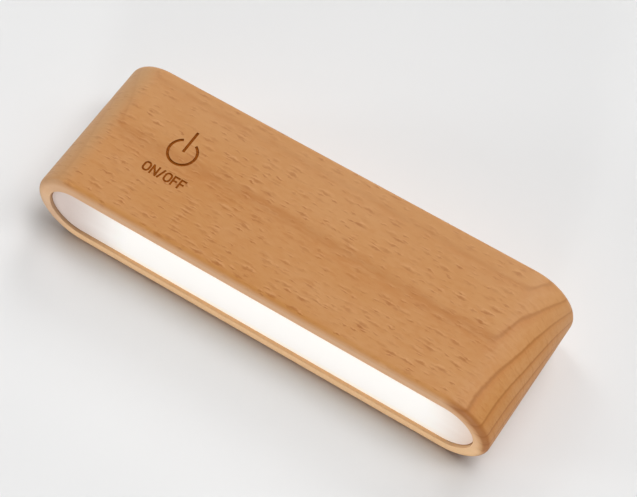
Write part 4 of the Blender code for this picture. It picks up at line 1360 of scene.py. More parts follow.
def tube(name: str, points: Sequence[Place], radius: float, slot: str, node: str, steps: int = 14) -> None:
    """Makes and dresses a round wire that runs smoothly through its points.

    Args:
        name: Name of the piece.
        points: Places that it runs through.
        radius: Radius of the wire.
        slot: The record's material slot.
        node: CAD node that the piece replaces.
        steps: Number of straight parts between two points.
    """
    curve = bpy.data.curves.new(name, "CURVE")
    curve.dimensions = "3D"
    curve.bevel_depth = radius
    curve.bevel_resolution = WIRE_STEPS
    curve.resolution_u = steps
    curve.use_fill_caps = True
    spline = curve.splines.new("BEZIER")
    spline.bezier_points.add(len(points) - 1)
    for index, knot in enumerate(spline.bezier_points):
        here = Vector(points[index])
        before = Vector(points[max(index - 1, 0)])
        after = Vector(points[min(index + 1, len(points) - 1)])
        along = (after - before).normalized()
        knot.co = here
        knot.handle_left_type = knot.handle_right_type = "FREE"
        knot.handle_left = here - along * (here - before).length / 3
        knot.handle_right = here + along * (after - here).length / 3
    passing = bpy.data.objects.new("passing", curve)
    bpy.context.scene.collection.objects.link(passing)
    bpy.context.view_layer.update()
    mesh = bpy.data.meshes.new_from_object(passing.evaluated_get(bpy.context.evaluated_depsgraph_get()))
    bpy.data.objects.remove(passing)
    bpy.data.curves.remove(curve)
    bm = bmesh.new()
    bm.from_mesh(mesh)
    bpy.data.meshes.remove(mesh)
    finished(name, bm, slot, node)


@dataclass
class ChargePort:
    """The lined hole in the back with its inlet, contacts and charging light."""

    x: float = -0.0579
    middle: float = 0.019
    bezel: Pair = (0.0154, 0.0096)
    bezel_wall: float = 0.0012
    bezel_low: float = 0.0268
    bezel_high: float = 0.0325
    bezel_edge: float = 0.0004
    facing_share: float = 0.5
    shell: Pair = (0.0089, 0.0032)
    shell_wall: float = 0.0003
    shell_low: float = 0.0189
    shell_high: float = 0.0262
    shell_back: float = 0.0012
    shell_edge: float = 0.0001
    tongue: Size = (0.0067, 0.0046, 0.0007)
    tongue_low: float = 0.0204
    tongue_edge: float = 0.0001
    pad: Size = (0.00025, 0.0032, 0.00004)
    pad_pitch: float = 0.0005
    pad_count: int = 12
    pad_from_tip: float = 0.0006
    pipe_x: float = -0.0464
    pipe_radius: float = 0.0012
    pipe_low: float = 0.0247
    pipe_high: float = 0.0322
    pipe_dome: float = 0.0004
    round_steps: int = 96

    def placed(self, bm: BMesh, x: float) -> None:
        """Moves a bmesh up to the middle of the back wall, at a place along X."""
        shift(bm, (x, 0, self.middle))

    def build_bezel(self) -> None:
        """Makes the sleeve that lines the hole."""
        bm = bmesh.new()
        sleeve(bm, self.bezel, self.bezel_wall, self.bezel_low, self.bezel_high, self.round_steps)
        rims = []
        for edge in bm.edges:
            outer = all(abs(vert.co.y - self.bezel_high) < MERGE_DISTANCE for vert in edge.verts)
            if outer and sum(abs(face.normal.y) > self.facing_share for face in edge.link_faces) == 1:
                rims.append(edge)
        bevel(bm, rims, self.bezel_edge, LIP_STEPS)
        self.placed(bm, self.x)
        finished("port_lining", bm, "grey_plastic", "port_bezel")

    def build_socket(self) -> None:
        """Makes the inlet's shell, closed behind."""
        bm = bmesh.new()
        face = stadium(bm, *self.shell, self.shell_low, self.round_steps)
        mouth = pull(bm, face, (0, self.shell_high - self.shell_low, 0))
        inner = inset(bm, mouth, self.shell_wall)
        pull(bm, inner, (0, self.shell_low + self.shell_back - self.shell_high, 0))
        soften(bm, flattest(bm, self.shell_low), self.shell_edge)
        self.placed(bm, self.x)
        finished("inlet_shell", bm, "steel", "charge_socket")

    def build_tongue(self) -> None:
        """Makes the tongue and its contacts."""
        _, deep, thick = self.tongue
        bm = bmesh.new()
        made = bmesh.ops.create_cube(bm, size=1)
        bmesh.ops.scale(bm, verts=made["verts"], vec=self.tongue)
        bmesh.ops.translate(bm, verts=made["verts"], vec=(0, self.tongue_low + deep / 2, 0))
        bevel(bm, bm.edges[:], self.tongue_edge, EDGE_STEPS)
        self.placed(bm, self.x)
        finished("inlet_tongue", bm, "black_plastic", "socket_tongue")
        bm = bmesh.new()
        tip = self.tongue_low + deep - self.pad_from_tip - self.pad[1] / 2
        for side in (-1, 1):
            for step in range(self.pad_count):
                made = bmesh.ops.create_cube(bm, size=1)
                place = ((step - (self.pad_count - 1) / 2) * self.pad_pitch, tip, side * thick / 2)
                bmesh.ops.scale(bm, verts=made["verts"], vec=self.pad)
                bmesh.ops.translate(bm, verts=made["verts"], vec=place)
        self.placed(bm, self.x)
        dress(solid("inlet_contacts", bm, Finish.CONTACT.made()), "nickel")

    def build_pipe(self) -> None:
        """Makes the clear rod that carries the charging light to the back."""
        bm = bmesh.new()
        face = stadium(bm, 2 * self.pipe_radius, 2 * self.pipe_radius, self.pipe_low, self.round_steps)
        pull(bm, face, (0, self.pipe_high - self.pipe_low, 0))
        soften(bm, flattest(bm, self.pipe_high), self.pipe_dome, CORNER_STEPS)
        self.placed(bm, self.pipe_x)
        finished("charging_lens", bm, "clear_plastic", "light_pipe")

    def build(self) -> None:
        """Makes and dresses every piece of the port."""
        self.build_bezel()
        self.build_socket()
        self.build_tongue()
        self.build_pipe()


@dataclass
class Magnets:
    """The two plated discs let into the underside."""

    radius: float = 0.006
    thick: float = 0.0025
    edge: float = 0.0003
    x: float = 0.062
    round_steps: int = 96

    def build(self) -> None:
        """Makes and dresses both discs."""
        for side, node in ((-1, "magnet_left"), (1, "magnet_right")):
            bm = bmesh.new()
            face = stadium(bm, 2 * self.radius, 2 * self.radius, 0, self.round_steps)
            pull(bm, face, (0, self.thick, 0))
            for y in (0, self.thick):
                soften(bm, flattest(bm, y), self.edge, LIP_STEPS)
            lay(bm, Matrix.Translation((side * self.x, 0, 0)) @ TURN_X)
            finished(f"plated_{node}", bm, "nickel", node, Finish.MAGNET)


@dataclass
class LightStrip:
    """The strip's board with its row of light chips, and the white trough in front of it."""

    length: float = 0.150
    height: float = 0.0096
    front: float = -0.0177
    back: float = -0.0161
    middle: float = 0.019
    chips: int = 14
    pitch: float = 0.0106
    chip: Size = (0.0035, 0.0008, 0.0028)
    chip_back: float = -0.018
    chip_edge: float = 0.00012
    window_frame: float = 0.0004
    window_deep: float = 0.00015
    pad: Pair = (0.0009, 0.0022)
    pad_from_middle: float = 0.0016
    pad_thick: float = 0.00025
    tray_sections: tuple[Size, ...] = (
        (0.1824, 0.0204, -0.0260),
        (0.1460, 0.0050, -0.0195),
        (0.1460, 0.0050, -0.0180),
        (0.1506, 0.0102, -0.0180),
        (0.1506, 0.0102, -0.0161),
        (0.1536, 0.0132, -0.0161),
        (0.1536, 0.0132, -0.0180),
        (0.1854, 0.0234, -0.0245),
        (0.1854, 0.0234, -0.0260),
    )
    round_steps: int = 96

    def build_board(self) -> None:
        """Makes the board and its tinned pads."""
        bm = bmesh.new()
        face = stadium(bm, self.length, self.height, self.front, self.round_steps)
        pull(bm, face, (0, self.back - self.front, 0))
        shift(bm, (0, 0, self.middle))
        finished("strip_board", bm, "white_board", "led_board")
        bm = bmesh.new()
        wide, high = self.pad[0] / 2, self.pad[1] / 2
        for index in range(self.chips):
            for side in (-1, 1):
                x = self.chip_x(index) + side * self.pad_from_middle
                low = (x - wide, self.front - self.pad_thick, self.middle - high)
                brick(bm, low, (x + wide, self.front, self.middle + high))
        dress(solid("strip_pads", bm, Finish.STEEL.made(), merge=False), "steel")

    def chip_x(self, index: int) -> float:
        """Gives the middle of a chip along X."""
        return (index - (self.chips - 1) / 2) * self.pitch

    def build_chips(self) -> None:
        """Makes each chip as a white housing with a phosphor window."""
        wide, deep, high = (size / 2 for size in self.chip)
        for index in range(self.chips):
            x = self.chip_x(index)
            bm = bmesh.new()
            front = self.chip_back - 2 * deep
            brick(bm, (x - wide, front, -high), (x + wide, self.chip_back, high), self.chip_edge)
            window = inset(bm, flattest(bm, front), self.window_frame)
            pull(bm, window, (0, self.window_deep, 0)).material_index = 1
            shift(bm, (0, 0, self.middle))
            finishes = (Finish.WHITE_PLASTIC, Finish.LIGHT_CHIP)
            finished(f"light_chip_{index + 1:02d}", bm, "light_chip", f"led_{index + 1:02d}", *finishes)

    def build_tray(self) -> None:
        """Makes the flared trough."""
        bm = bmesh.new()
        skinned(bm, self.tray_sections, self.round_steps)
        shift(bm, (0, 0, self.middle))
        finished("white_trough", bm, "white_plastic", "reflector_tray")

    def build(self) -> None:
        """Makes and dresses the strip and its trough."""
        self.build_board()
        self.build_chips()
        self.build_tray()


@dataclass
class Screw:
    """A pan-head screw with a cross recess and a cut thread."""

    radius: float
    length: float
    head_radius: float
    head_height: float
    pitch: float
    thread_deep: float
    slot_wide: float = 0.0006
    slot_deep: float = 0.0007
    slot_share: float = 0.667
    tip_share: float = 0.5
    crest_share: float = 0.15
    base_share: float = 0.42
    plain_neck: float = 0.0008
    run_in_share: float = 1.2
    dome_angle: float = math.pi / 6
    steps: int = 48

    def shape(self, name: str, place: Matrix) -> bpy.types.Object:
        """Makes the screw with its head's underside at its place, pointing along -Z.

        Args:
            name: Name of the piece.
            place: Where it goes.

        Returns:
            The screw.
        """
        core = self.radius - self.thread_deep
        dome = self.head_radius * math.cos(self.dome_angle)
        profile = [
            (0, -self.length),
            (self.radius * self.tip_share, -self.length),
            (core, -self.length + self.radius),
            (core, -self.plain_neck),
            (self.radius, -self.plain_neck),
            (self.radius, 0),
            (self.head_radius, 0),
            (self.head_radius, self.head_height / 2),
            (dome, self.head_height),
            (0, self.head_height),
        ]
        bm = turned(profile, self.steps)
        rims = [(self.head_radius, self.head_height / 2), (dome, self.head_height)]
        round_off(bm, rims, self.head_height * self.crest_share, EDGE_STEPS)
        screw = solid(name, bm, Finish.STEEL.made())
        cutter = bmesh.new()
        arm, half = self.head_radius * self.slot_share, self.slot_wide / 2
        low, high = self.head_height - self.slot_deep, self.head_height + self.slot_deep
        brick(cutter, (-arm, -half, low), (arm, half, high))
        brick(cutter, (-half, -arm, low), (half, arm, high))
        cut(screw, solid("slot_cutter", cutter, merge=False), crossing=True)
        bm = bmesh.new()
        bm.from_mesh(screw.data)
        joined(bm, self.thread())
        lay(bm, place)
        bm.to_mesh(screw.data)
        bm.free()
        smooth(screw)
        return screw

    def thread(self) -> BMesh:
        """Makes the thread as a ridge wound round the core.

        Returns:
            The ridge's bmesh.
        """
        base, crest = self.pitch * self.base_share, self.pitch * self.crest_share
        run_in = self.radius * self.run_in_share
        start = -self.length + run_in
        turns = (self.length - self.plain_neck - run_in) / self.pitch - self.base_share
        steps = int(self.steps * turns)
        bm = bmesh.new()
        inside = self.radius - self.thread_deep - self.thread_deep
        heights = (0, (base - crest) / 2, (base + crest) / 2, base)
        radii = (inside, self.radius, self.radius, inside)
        corners = zip(radii, heights)
        face = bm.faces.new([bm.verts.new((radius, 0, start + height)) for radius, height in corners])
        bmesh.ops.spin(
            bm,
            geom=list(face.verts) + list(face.edges) + [face],
            cent=(0, 0, 0),
            axis=(0, 0, 1),
            dvec=(0, 0, self.pitch / self.steps),
            angle=2 * math.pi * steps / self.steps,
            steps=steps,
        )
        bmesh.ops.recalc_face_normals(bm, faces=bm.faces[:])
        return bm


@dataclass
class Screws:
    """The carrier's two wood screws and the control board's two small screws."""

    wood: Screw = field(default_factory=lambda: Screw(0.00145, 0.012, 0.0027, 0.0018, 0.0012, 0.0004))
    small: Screw = field(default_factory=lambda: Screw(0.001, 0.006, 0.0019, 0.0013, 0.0006, 0.0002))
    wood_x: float = 0.089
    wood_y: float = -0.0161
    middle: float = 0.019
    small_front: Place = (-0.0799, 0.0024, 0.0174)
    small_back: Place = (-0.0359, 0.0214, 0.0174)

    def build(self) -> None:
        """Makes and dresses the four screws."""
        for side, end in ((-1, "left"), (1, "right")):
            place = Matrix.Translation((side * self.wood_x, self.wood_y, self.middle)) @ TURN_X
            dress(self.wood.shape(f"wood_screw_{end}", place), "steel", f"carrier_screw_{end}")
        for end, spot in (("front", self.small_front), ("back", self.small_back)):
            piece = self.small.shape(f"small_screw_{end}", Matrix.Translation(spot))
            dress(piece, "steel", f"board_screw_{end}")


@dataclass
class Cell:
    """The round cell: a sleeved can with a crimped steel end, a ring and a raised pole."""

    radius: float = 0.0092
    length: float = 0.065
    left: float = 0.0142
    y: float = 0.00545
    z: float = 0.01915
    edge: float = 0.0008
    groove_from_end: float = 0.0052
    groove_wide: float = 0.0012
    groove_deep: float = 0.0005
    nub_radius: float = 0.003
    nub_height: float = 0.001
    wrap: float = 0.0014
    ring_radius: float = 0.0048
    base_sink: float = 0.0002
    round_steps: int = 128

    def build(self) -> None:
        """Makes and dresses the cell."""
        top = self.length - self.nub_height
        groove = self.length - self.groove_from_end
        lip = self.radius - self.wrap
        profile = [
            (0, self.base_sink),
            (lip, self.base_sink),
            (lip, 0),
            (self.radius, 0),
            (self.radius, groove - self.groove_wide),
            (self.radius - self.groove_deep, groove - self.groove_wide / 2),
            (self.radius, groove),
            (self.radius, top),
            (lip, top),
            (lip, top - self.base_sink),
            (self.ring_radius, top - self.base_sink),
            (self.nub_radius, top - self.base_sink),
            (self.nub_radius, self.length),
            (0, self.length),
        ]
        bm = turned(profile, self.round_steps)
        middle = self.radius - self.groove_deep
        round_off(bm, [(self.radius, 0), (self.radius, top)], self.edge, CORNER_STEPS)
        round_off(bm, [(middle, groove - self.groove_wide / 2)], self.groove_deep, LIP_STEPS)
        round_off(bm, [(self.nub_radius, self.length)], self.nub_height / 3, EDGE_STEPS)
        for face in bm.faces:
            centre = face.calc_center_median()
            out = centre.xy.length
            inside = out < lip - MERGE_DISTANCE
            if inside and (centre.z < self.length / 2 or out < self.ring_radius):
                face.material_index = 1
            elif inside:
                face.material_index = 2
        lay(bm, Matrix.Translation((self.left, self.y, self.z)) @ TURN_Y)
        finishes = (Finish.CELL_SLEEVE, Finish.NICKEL, Finish.WHITE_PLASTIC)
        finished("round_cell", bm, "cell_sleeve", "battery_cell", *finishes)


@dataclass
class CellPad:
    """The block of foam that holds the cell down, hollowed to lie on it."""

    low: Place = (0.0267, -0.00155, 0.02595)
    high: Place = (0.0667, 0.01245, 0.03045)
    hollow: float = 0.0095
    cell: Pair = (0.00545, 0.01915)
    edge: float = 0.0009
    fill: float = 1.0
    steps: int = 160

    def build(self) -> None:
        """Makes and dresses the foam block."""
        bm = bmesh.new()
        brick(bm, self.low, self.high, self.edge, CORNER_STEPS)
        pad = solid("foam_block", bm, Finish.FOAM.made())
        length = self.high[0] - self.low[0]
        rod = drum(self.hollow, -length, length, self.steps)
        lay(rod, Matrix.Translation(((self.low[0] + self.high[0]) / 2, *self.cell)) @ TURN_Y)
        cut(pad, solid("hollow", rod))
        smooth(pad)
        dress(pad, "foam", "cell_pad")


@dataclass
class Chassis:
    """The moulded carrier and the cell's two tabs, with the edges of the CAD shapes rounded."""

    carrier_edge: float = 0.00025
    tab_edge: float = 0.00008
    edge_angle: float = math.radians(30)
    flat_angle: float = math.radians(1)
    steps: int = 2

    def rounded(self, name: str, node: str, slot: str, edge: float) -> None:
        """Makes a copy of a CAD node with its sharp edges rounded.

        Args:
            name: Name of the piece.
            node: CAD node that it stands for.
            slot: The record's material slot.
            edge: Radius of the edges.
        """
        bm = bmesh.new()
        bm.from_mesh(frame["nodes"][node].data)
        bmesh.ops.remove_doubles(bm, verts=bm.verts[:], dist=MERGE_DISTANCE)
        bmesh.ops.dissolve_limit(bm, angle_limit=self.flat_angle, verts=bm.verts[:], edges=bm.edges[:])
        sharp = [line for line in bm.edges if line.calc_face_angle(0) > self.edge_angle]
        bevel(bm, sharp, edge, self.steps, clamp=True)
        finished(name, bm, slot, node)

    def build(self) -> None:
        """Makes and dresses the carrier and the tabs."""
        self.rounded("moulded_carrier", "carrier", "grey_plastic", self.carrier_edge)
        for end in ("positive", "negative"):
            self.rounded(f"plated_tab_{end}", f"cell_tab_{end}", "nickel", self.tab_edge)


@dataclass
class Leads:
    """The insulated leads of the cell and of the light strip."""

    radius: float = 0.00065
    plug_end: float = -0.0371
    straight: float = 0.0026
    red_y: float = 0.006
    black_y: float = 0.008
    plug_z: float = 0.0199
    middle_x: float = -0.01345
    cell_y: float = 0.00545
    near: float = 0.0132
    lead_z: float = 0.02135
    beside: float = -0.0054
    cell_middle: float = 0.0467
    far: float = 0.0792
    strip_x: float = -0.0453
    strip_spacing: float = 0.0025
    strip_from: float = 0.0022
    strip_to: float = -0.0158
    strip_z: float = 0.01805

    def build(self) -> None:
        """Makes and dresses the four leads."""
        rise = (self.plug_z + self.lead_z) / 2
        first = self.plug_end + self.straight
        black = [
            (self.plug_end, self.black_y, self.plug_z),
            (first, self.black_y, self.plug_z),
            (self.middle_x, (self.black_y + self.cell_y) / 2, rise),
            (self.near - 2 * self.straight, self.cell_y, self.lead_z),
            (self.near, self.cell_y, self.lead_z),
        ]
        red = [
            (self.plug_end, self.red_y, self.plug_z),
            (first, self.red_y, self.plug_z),
            (self.middle_x, (self.red_y + self.beside) / 2, rise),
            (self.near - self.straight, self.beside, self.lead_z),
            (self.cell_middle, self.beside, self.lead_z),
            (self.far - self.straight, self.beside, self.lead_z),
            (self.far, self.beside, self.lead_z),
        ]
        tube("cell_wire_black", black, self.radius, "black_lead", "battery_lead_black")
        tube("cell_wire_red", red, self.radius, "red_lead", "battery_lead_red")
        for side, colour in ((-1, "red"), (1, "black")):
            x = self.strip_x + side * self.strip_spacing / 2
            route = [(x, self.strip_from, self.strip_z), (x, self.strip_to, self.strip_z)]
            tube(f"strip_wire_{colour}", route, self.radius, f"{colour}_lead", f"led_lead_{colour}", 1)


@dataclass
class TouchSpring:
    """The conical spring between the control board and the wood under the mark."""

    centre: Pair = (-0.0561, 0.0033)
    wire_radius: float = 0.0003
    low: float = 0.0177
    high: float = 0.03015
    base_radius: float = 0.0028
    top_radius: float = 0.005
    turns: int = 5
    points: int = 16
    steps: int = 3

    def build(self) -> None:
        """Makes and dresses the spring."""
        count = self.turns * self.points
        route = []
        for index in range(count + 1):
            share = index / count
            turn = 2 * math.pi * self.turns * share
            radius = self.base_radius + (self.top_radius - self.base_radius) * share
            height = self.low + (self.high - self.low) * (1 - math.cos(math.pi * share)) / 2
            x, y = self.centre[0] + radius * math.cos(turn), self.centre[1] + radius * math.sin(turn)
            route.append((x, y, height))
        tube("contact_spring", route, self.wire_radius, "steel", "touch_spring", self.steps)


@dataclass
class ControlBoard:
    """The control board with its pads, chips, coil, capacitors, charging light and connector."""

    left: float = -0.0829
    right: float = -0.0329
    front: float = -0.0006
    back: float = 0.0244
    top: float = 0.0171
    thick: float = 0.0016
    corner: float = 0.0008
    hole_radius: float = 0.0013
    holes: tuple[Pair, ...] = ((-0.0799, 0.0024), (-0.0359, 0.0214))
    parts_z: float = 0.0174
    touch: Pair = (-0.0661, 0.0033)
    charge: Pair = (-0.0705, 0.0150)
    driver: Pair = (-0.0505, 0.0120)
    coil: Pair = (-0.0405, 0.0150)
    input_cap: Pair = (-0.0655, 0.0210)
    output_cap: Pair = (-0.0425, 0.0215)
    light: Pair = (-0.0464, 0.0235)
    small_chip: Size = (0.003, 0.003, 0.0011)
    large_chip: Size = (0.005, 0.004, 0.0015)
    coil_size: Size = (0.005, 0.005, 0.003)
    cap_size: Size = (0.0032, 0.0016, 0.0014)
    light_size: Size = (0.002, 0.0018, 0.0032)
    chip_edge: float = 0.0001
    part_edge: float = 0.0003
    cap_end: float = 0.0005
    coil_groove: Size = (0.0018, 0.00205, 0.0003)
    pin_wide: float = 0.0004
    pin_thick: float = 0.0002
    pin_reach: float = 0.001
    pin_pitch: float = 0.00095
    pin_shoulder: float = 0.00035
    pin_slope: float = 0.0003
    notch_radius: float = 0.00025
    notch_deep: float = 0.00006
    spring_pad: Size = (-0.0561, 0.0033, 0.0036)
    pad_reach_share: float = 1.3
    pad_half_share: float = 0.7
    cap_pad_share: float = 0.45
    wire_pads: tuple[Pair, ...] = ((-0.04655, 0.0012), (-0.04405, 0.0012))
    header_low: Place = (-0.0475, 0.00305, 0.0174)
    header_high: Place = (-0.0399, 0.01095, 0.0224)
    header_wall: float = 0.0007
    header_deep: float = 0.006
    plug_low: Place = (-0.0456, 0.00405, 0.0184)
    plug_high: Place = (-0.0374, 0.00995, 0.0214)
    plug_edge: float = 0.0002
    plug_lead_y: Pair = (0.006, 0.008)
    plug_lead_z: float = 0.0199
    plug_hole: float = 0.00075
    plug_hole_deep: float = 0.0006
    steps: int = 48

    def build_board(self) -> None:
        """Makes the drilled board and the tinned pads on it."""
        bm = bmesh.new()
        brick(bm, (self.left, self.front, self.top - self.thick), (self.right, self.back, self.top))
        upright = [edge for edge in bm.edges if abs(edge.verts[0].co.z - edge.verts[1].co.z) > self.thick / 2]
        bevel(bm, upright, self.corner, CORNER_STEPS)
        board = solid("circuit_board", bm, Finish.GREEN_BOARD.made())
        for x, y in self.holes:
            drill = drum(self.hole_radius, self.top - 2 * self.thick, self.top + self.thick, self.steps)
            shift(drill, (x, y, 0))
            cut(board, solid("drill", drill))
        smooth(board)
        dress(board, "green_board", "control_board")
        self.build_pads()

    def build_pads(self) -> None:
        """Makes the tinned pads and solder under the parts."""
        bm = bmesh.new()
        low, high = self.top, self.parts_z
        for (x, y), size, pins in (
            (self.touch, self.small_chip, 3),
            (self.charge, self.large_chip, 4),
            (self.driver, self.small_chip, 3),
        ):
            for pin_x, side in self.pin_places(pins):
                near = y + side * (size[1] / 2 + self.pin_reach / 3)
                far = y + side * (size[1] / 2 + self.pin_reach * self.pad_reach_share)
                wide = self.pin_wide * self.pad_half_share
                first = (x + pin_x - wide, min(near, far), low)
                brick(bm, first, (x + pin_x + wide, max(near, far), high))
        for (x, y), size in (
            (self.coil, self.coil_size),
            (self.input_cap, self.cap_size),
            (self.output_cap, self.cap_size),
        ):
            for side in (-1, 1):
                near, far = x + side * size[0] / 3, x + side * (size[0] / 2 + self.part_edge)
                half = size[1] * self.cap_pad_share
                brick(bm, (min(near, far), y - half, low), (max(near, far), y + half, high))
        for x, y in self.wire_pads:
            half = self.pin_reach
            brick(bm, (x - half, y - half, low), (x + half, y + half, (low + high) / 2))
        x, y, radius = self.spring_pad
        plate = drum(radius, low, high, self.steps)
        round_off(plate, [(radius, high)], (high - low) / 2, 2)
        joined(bm, plate, Matrix.Translation((x, y, 0)))
        dress(solid("tinned_pads", bm, Finish.STEEL.made(), merge=False), "steel")

    def pin_places(self, pins: int) -> list[tuple[float, int]]:
        """Gives each leg's place along a chip and the side that it is on."""
        places = [(index - (pins - 1) / 2) * self.pin_pitch for index in range(pins)]
        return [(place, side) for side in (-1, 1) for place in places]

    def build_chip(self, name: str, node: str, centre: Pair, size: Size, pins: int) -> None:
        """Makes one moulded chip with bent legs.

        Args:
            name: Name of the piece.
            node: CAD node that it replaces.
            centre: Its middle on the board.
            size: Its body's size.
            pins: Number of legs on each side.
        """
        bm = bmesh.new()
        wide, deep, high = size
        brick(bm, (-wide / 2, -deep / 2, 0), (wide / 2, deep / 2, high), self.chip_edge)
        body = solid(name, bm, Finish.BLACK_PLASTIC.made(), Finish.STEEL.made())
        sunk = high - self.notch_deep
        notch = drum(self.notch_radius, sunk, high * 2, self.steps)
        spot = (-wide / 2 + 3 * self.notch_radius, -deep / 2 + 3 * self.notch_radius, 0)
        shift(notch, spot)
        cut(body, solid("notch", notch))
        bm = bmesh.new()
        bm.from_mesh(body.data)
        for x, side in self.pin_places(pins):
            leg = bmesh.new()
            made = bmesh.ops.create_grid(leg, x_segments=1, y_segments=1, size=GRID_HALF)
            bmesh.ops.scale(leg, verts=made["verts"], vec=(self.pin_wide, self.pin_thick, 1))
            bmesh.ops.rotate(leg, verts=made["verts"], cent=(0, 0, 0), matrix=TURN_X.to_3x3())
            start = (x, side * (deep / 2 - self.pin_thick), high / 2)
            bmesh.ops.translate(leg, verts=made["verts"], vec=start)
            drop = self.pin_thick / 2 - high / 2
            face = made["verts"][0].link_faces[0]
            face = pull(leg, face, (0, side * (self.pin_thick + self.pin_shoulder), 0))
            face = pull(leg, face, (0, side * self.pin_slope, drop))
            pull(leg, face, (0, side * (self.pin_reach - self.pin_shoulder - self.pin_slope), 0))
            bmesh.ops.recalc_face_normals(leg, faces=leg.faces[:])
            for face in leg.faces:
                face.material_index = 1
            joined(bm, leg)
        shift(bm, (*centre, self.parts_z))
        bm.to_mesh(body.data)
        bm.free()
        smooth(body)
        dress(body, "black_plastic", node)

    def build_coil(self) -> None:
        """Makes the inductor with the round gap on its top."""
        bm = bmesh.new()
        wide, deep, high = self.coil_size
        brick(bm, (-wide / 2, -deep / 2, 0), (wide / 2, deep / 2, high), self.part_edge, EDGE_STEPS)
        block = solid("coil_block", bm, Finish.FERRITE.made())
        inner, outer, sunk = self.coil_groove
        ring = bmesh.new()
        sleeve(ring, (2 * outer, 2 * outer), outer - inner, 0, 2 * sunk, self.steps)
        lay(ring, Matrix.Translation((0, 0, high - sunk)) @ TURN_X)
        cut(block, solid("groove", ring))
        block.data.transform(Matrix.Translation((*self.coil, self.parts_z)))
        smooth(block)
        dress(block, "ferrite", "inductor")

    def build_capacitor(self, name: str, node: str, centre: Pair) -> None:
        """Makes one ceramic capacitor with tinned ends.

        Args:
            name: Name of the piece.
            node: CAD node that it replaces.
            centre: Its middle on the board.
        """
        bm = bmesh.new()
        wide, deep, high = self.cap_size
        brick(bm, (-wide / 2, -deep / 2, 0), (wide / 2, deep / 2, high), self.part_edge / 2, EDGE_STEPS)
        for side in (-1, 1):
            geometry = bm.verts[:] + bm.edges[:] + bm.faces[:]
            place = (side * (wide / 2 - self.cap_end), 0, 0)
            bmesh.ops.bisect_plane(bm, geom=geometry, plane_co=place, plane_no=(1, 0, 0))
        for face in bm.faces:
            face.material_index = int(abs(face.calc_center_median().x) > wide / 2 - self.cap_end)
        shift(bm, (*centre, self.parts_z))
        finished(name, bm, "ceramic", node, Finish.CERAMIC, Finish.STEEL)

    def build_light(self) -> None:
        """Makes the clear charging light."""
        bm = bmesh.new()
        wide, deep, high = self.light_size
        x, y = self.light
        low = (x - wide / 2, y - deep / 2, self.parts_z)
        brick(bm, low, (x + wide / 2, y + deep / 2, self.parts_z + high), self.chip_edge, EDGE_STEPS)
        finished("charging_lamp", bm, "clear_plastic", "charge_light")

    def build_connector(self) -> None:
        """Makes the battery header and the plug in it."""
        bm = bmesh.new()
        brick(bm, self.header_low, self.header_high, self.chip_edge)
        end = flattest(bm, self.header_high[0], 0)
        mouth = inset(bm, end, self.header_wall - self.chip_edge)
        pull(bm, mouth, (-self.header_deep, 0, 0))
        finished("plug_header", bm, "white_plastic", "battery_header")
        bm = bmesh.new()
        brick(bm, self.plug_low, self.plug_high, self.plug_edge)
        plug = solid("cell_plug", bm, Finish.WHITE_PLASTIC.made())
        for y in self.plug_lead_y:
            hole = drum(self.plug_hole, -self.plug_hole_deep, self.plug_hole_deep, self.steps)
            lay(hole, Matrix.Translation((self.plug_high[0], y, self.plug_lead_z)) @ TURN_Y)
            cut(plug, solid("lead_hole", hole))
        smooth(plug)
        dress(plug, "white_plastic", "battery_plug")

    def build(self) -> None:
        """Makes and dresses the board and all its parts."""
        self.build_board()
        self.build_chip("touch_controller", "touch_chip", self.touch, self.small_chip, 3)
        self.build_chip("charge_controller", "charge_chip", self.charge, self.large_chip, 4)
        self.build_chip("light_driver", "driver_chip", self.driver, self.small_chip, 3)
        self.build_coil()
        self.build_capacitor("ceramic_input", "input_capacitor", self.input_cap)
        self.build_capacitor("ceramic_output", "output_capacitor", self.output_cap)
        self.build_light()
        self.build_connector()


def toward(azimuth: float, elevation: float) -> Vector:
    """Gives a direction by its angle from the front towards the right, and its height."""
    level = math.cos(elevation)
    return Vector((math.sin(azimuth) * level, -math.cos(azimuth) * level, math.sin(elevation)))


@dataclass(frozen=True)
class Sun:
    """A wide soft light that gives a share of the light on the floor. Angles are in degrees."""

    name: str
    share: float
    azimuth: float
    elevation: float
    width: float

    def build(self) -> None:
        """Adds the light."""
        turn, rise = math.radians(self.azimuth), math.radians(self.elevation)
        data = bpy.data.lights.new(self.name, "SUN")
        data.angle = math.radians(self.width)
        data.energy = self.share * math.pi / math.sin(rise)
        lamp = bpy.data.objects.new(self.name, data)
        lamp.rotation_euler = toward(turn, rise).to_track_quat("Z", "Y").to_euler()
        bpy.context.scene.collection.objects.link(lamp)


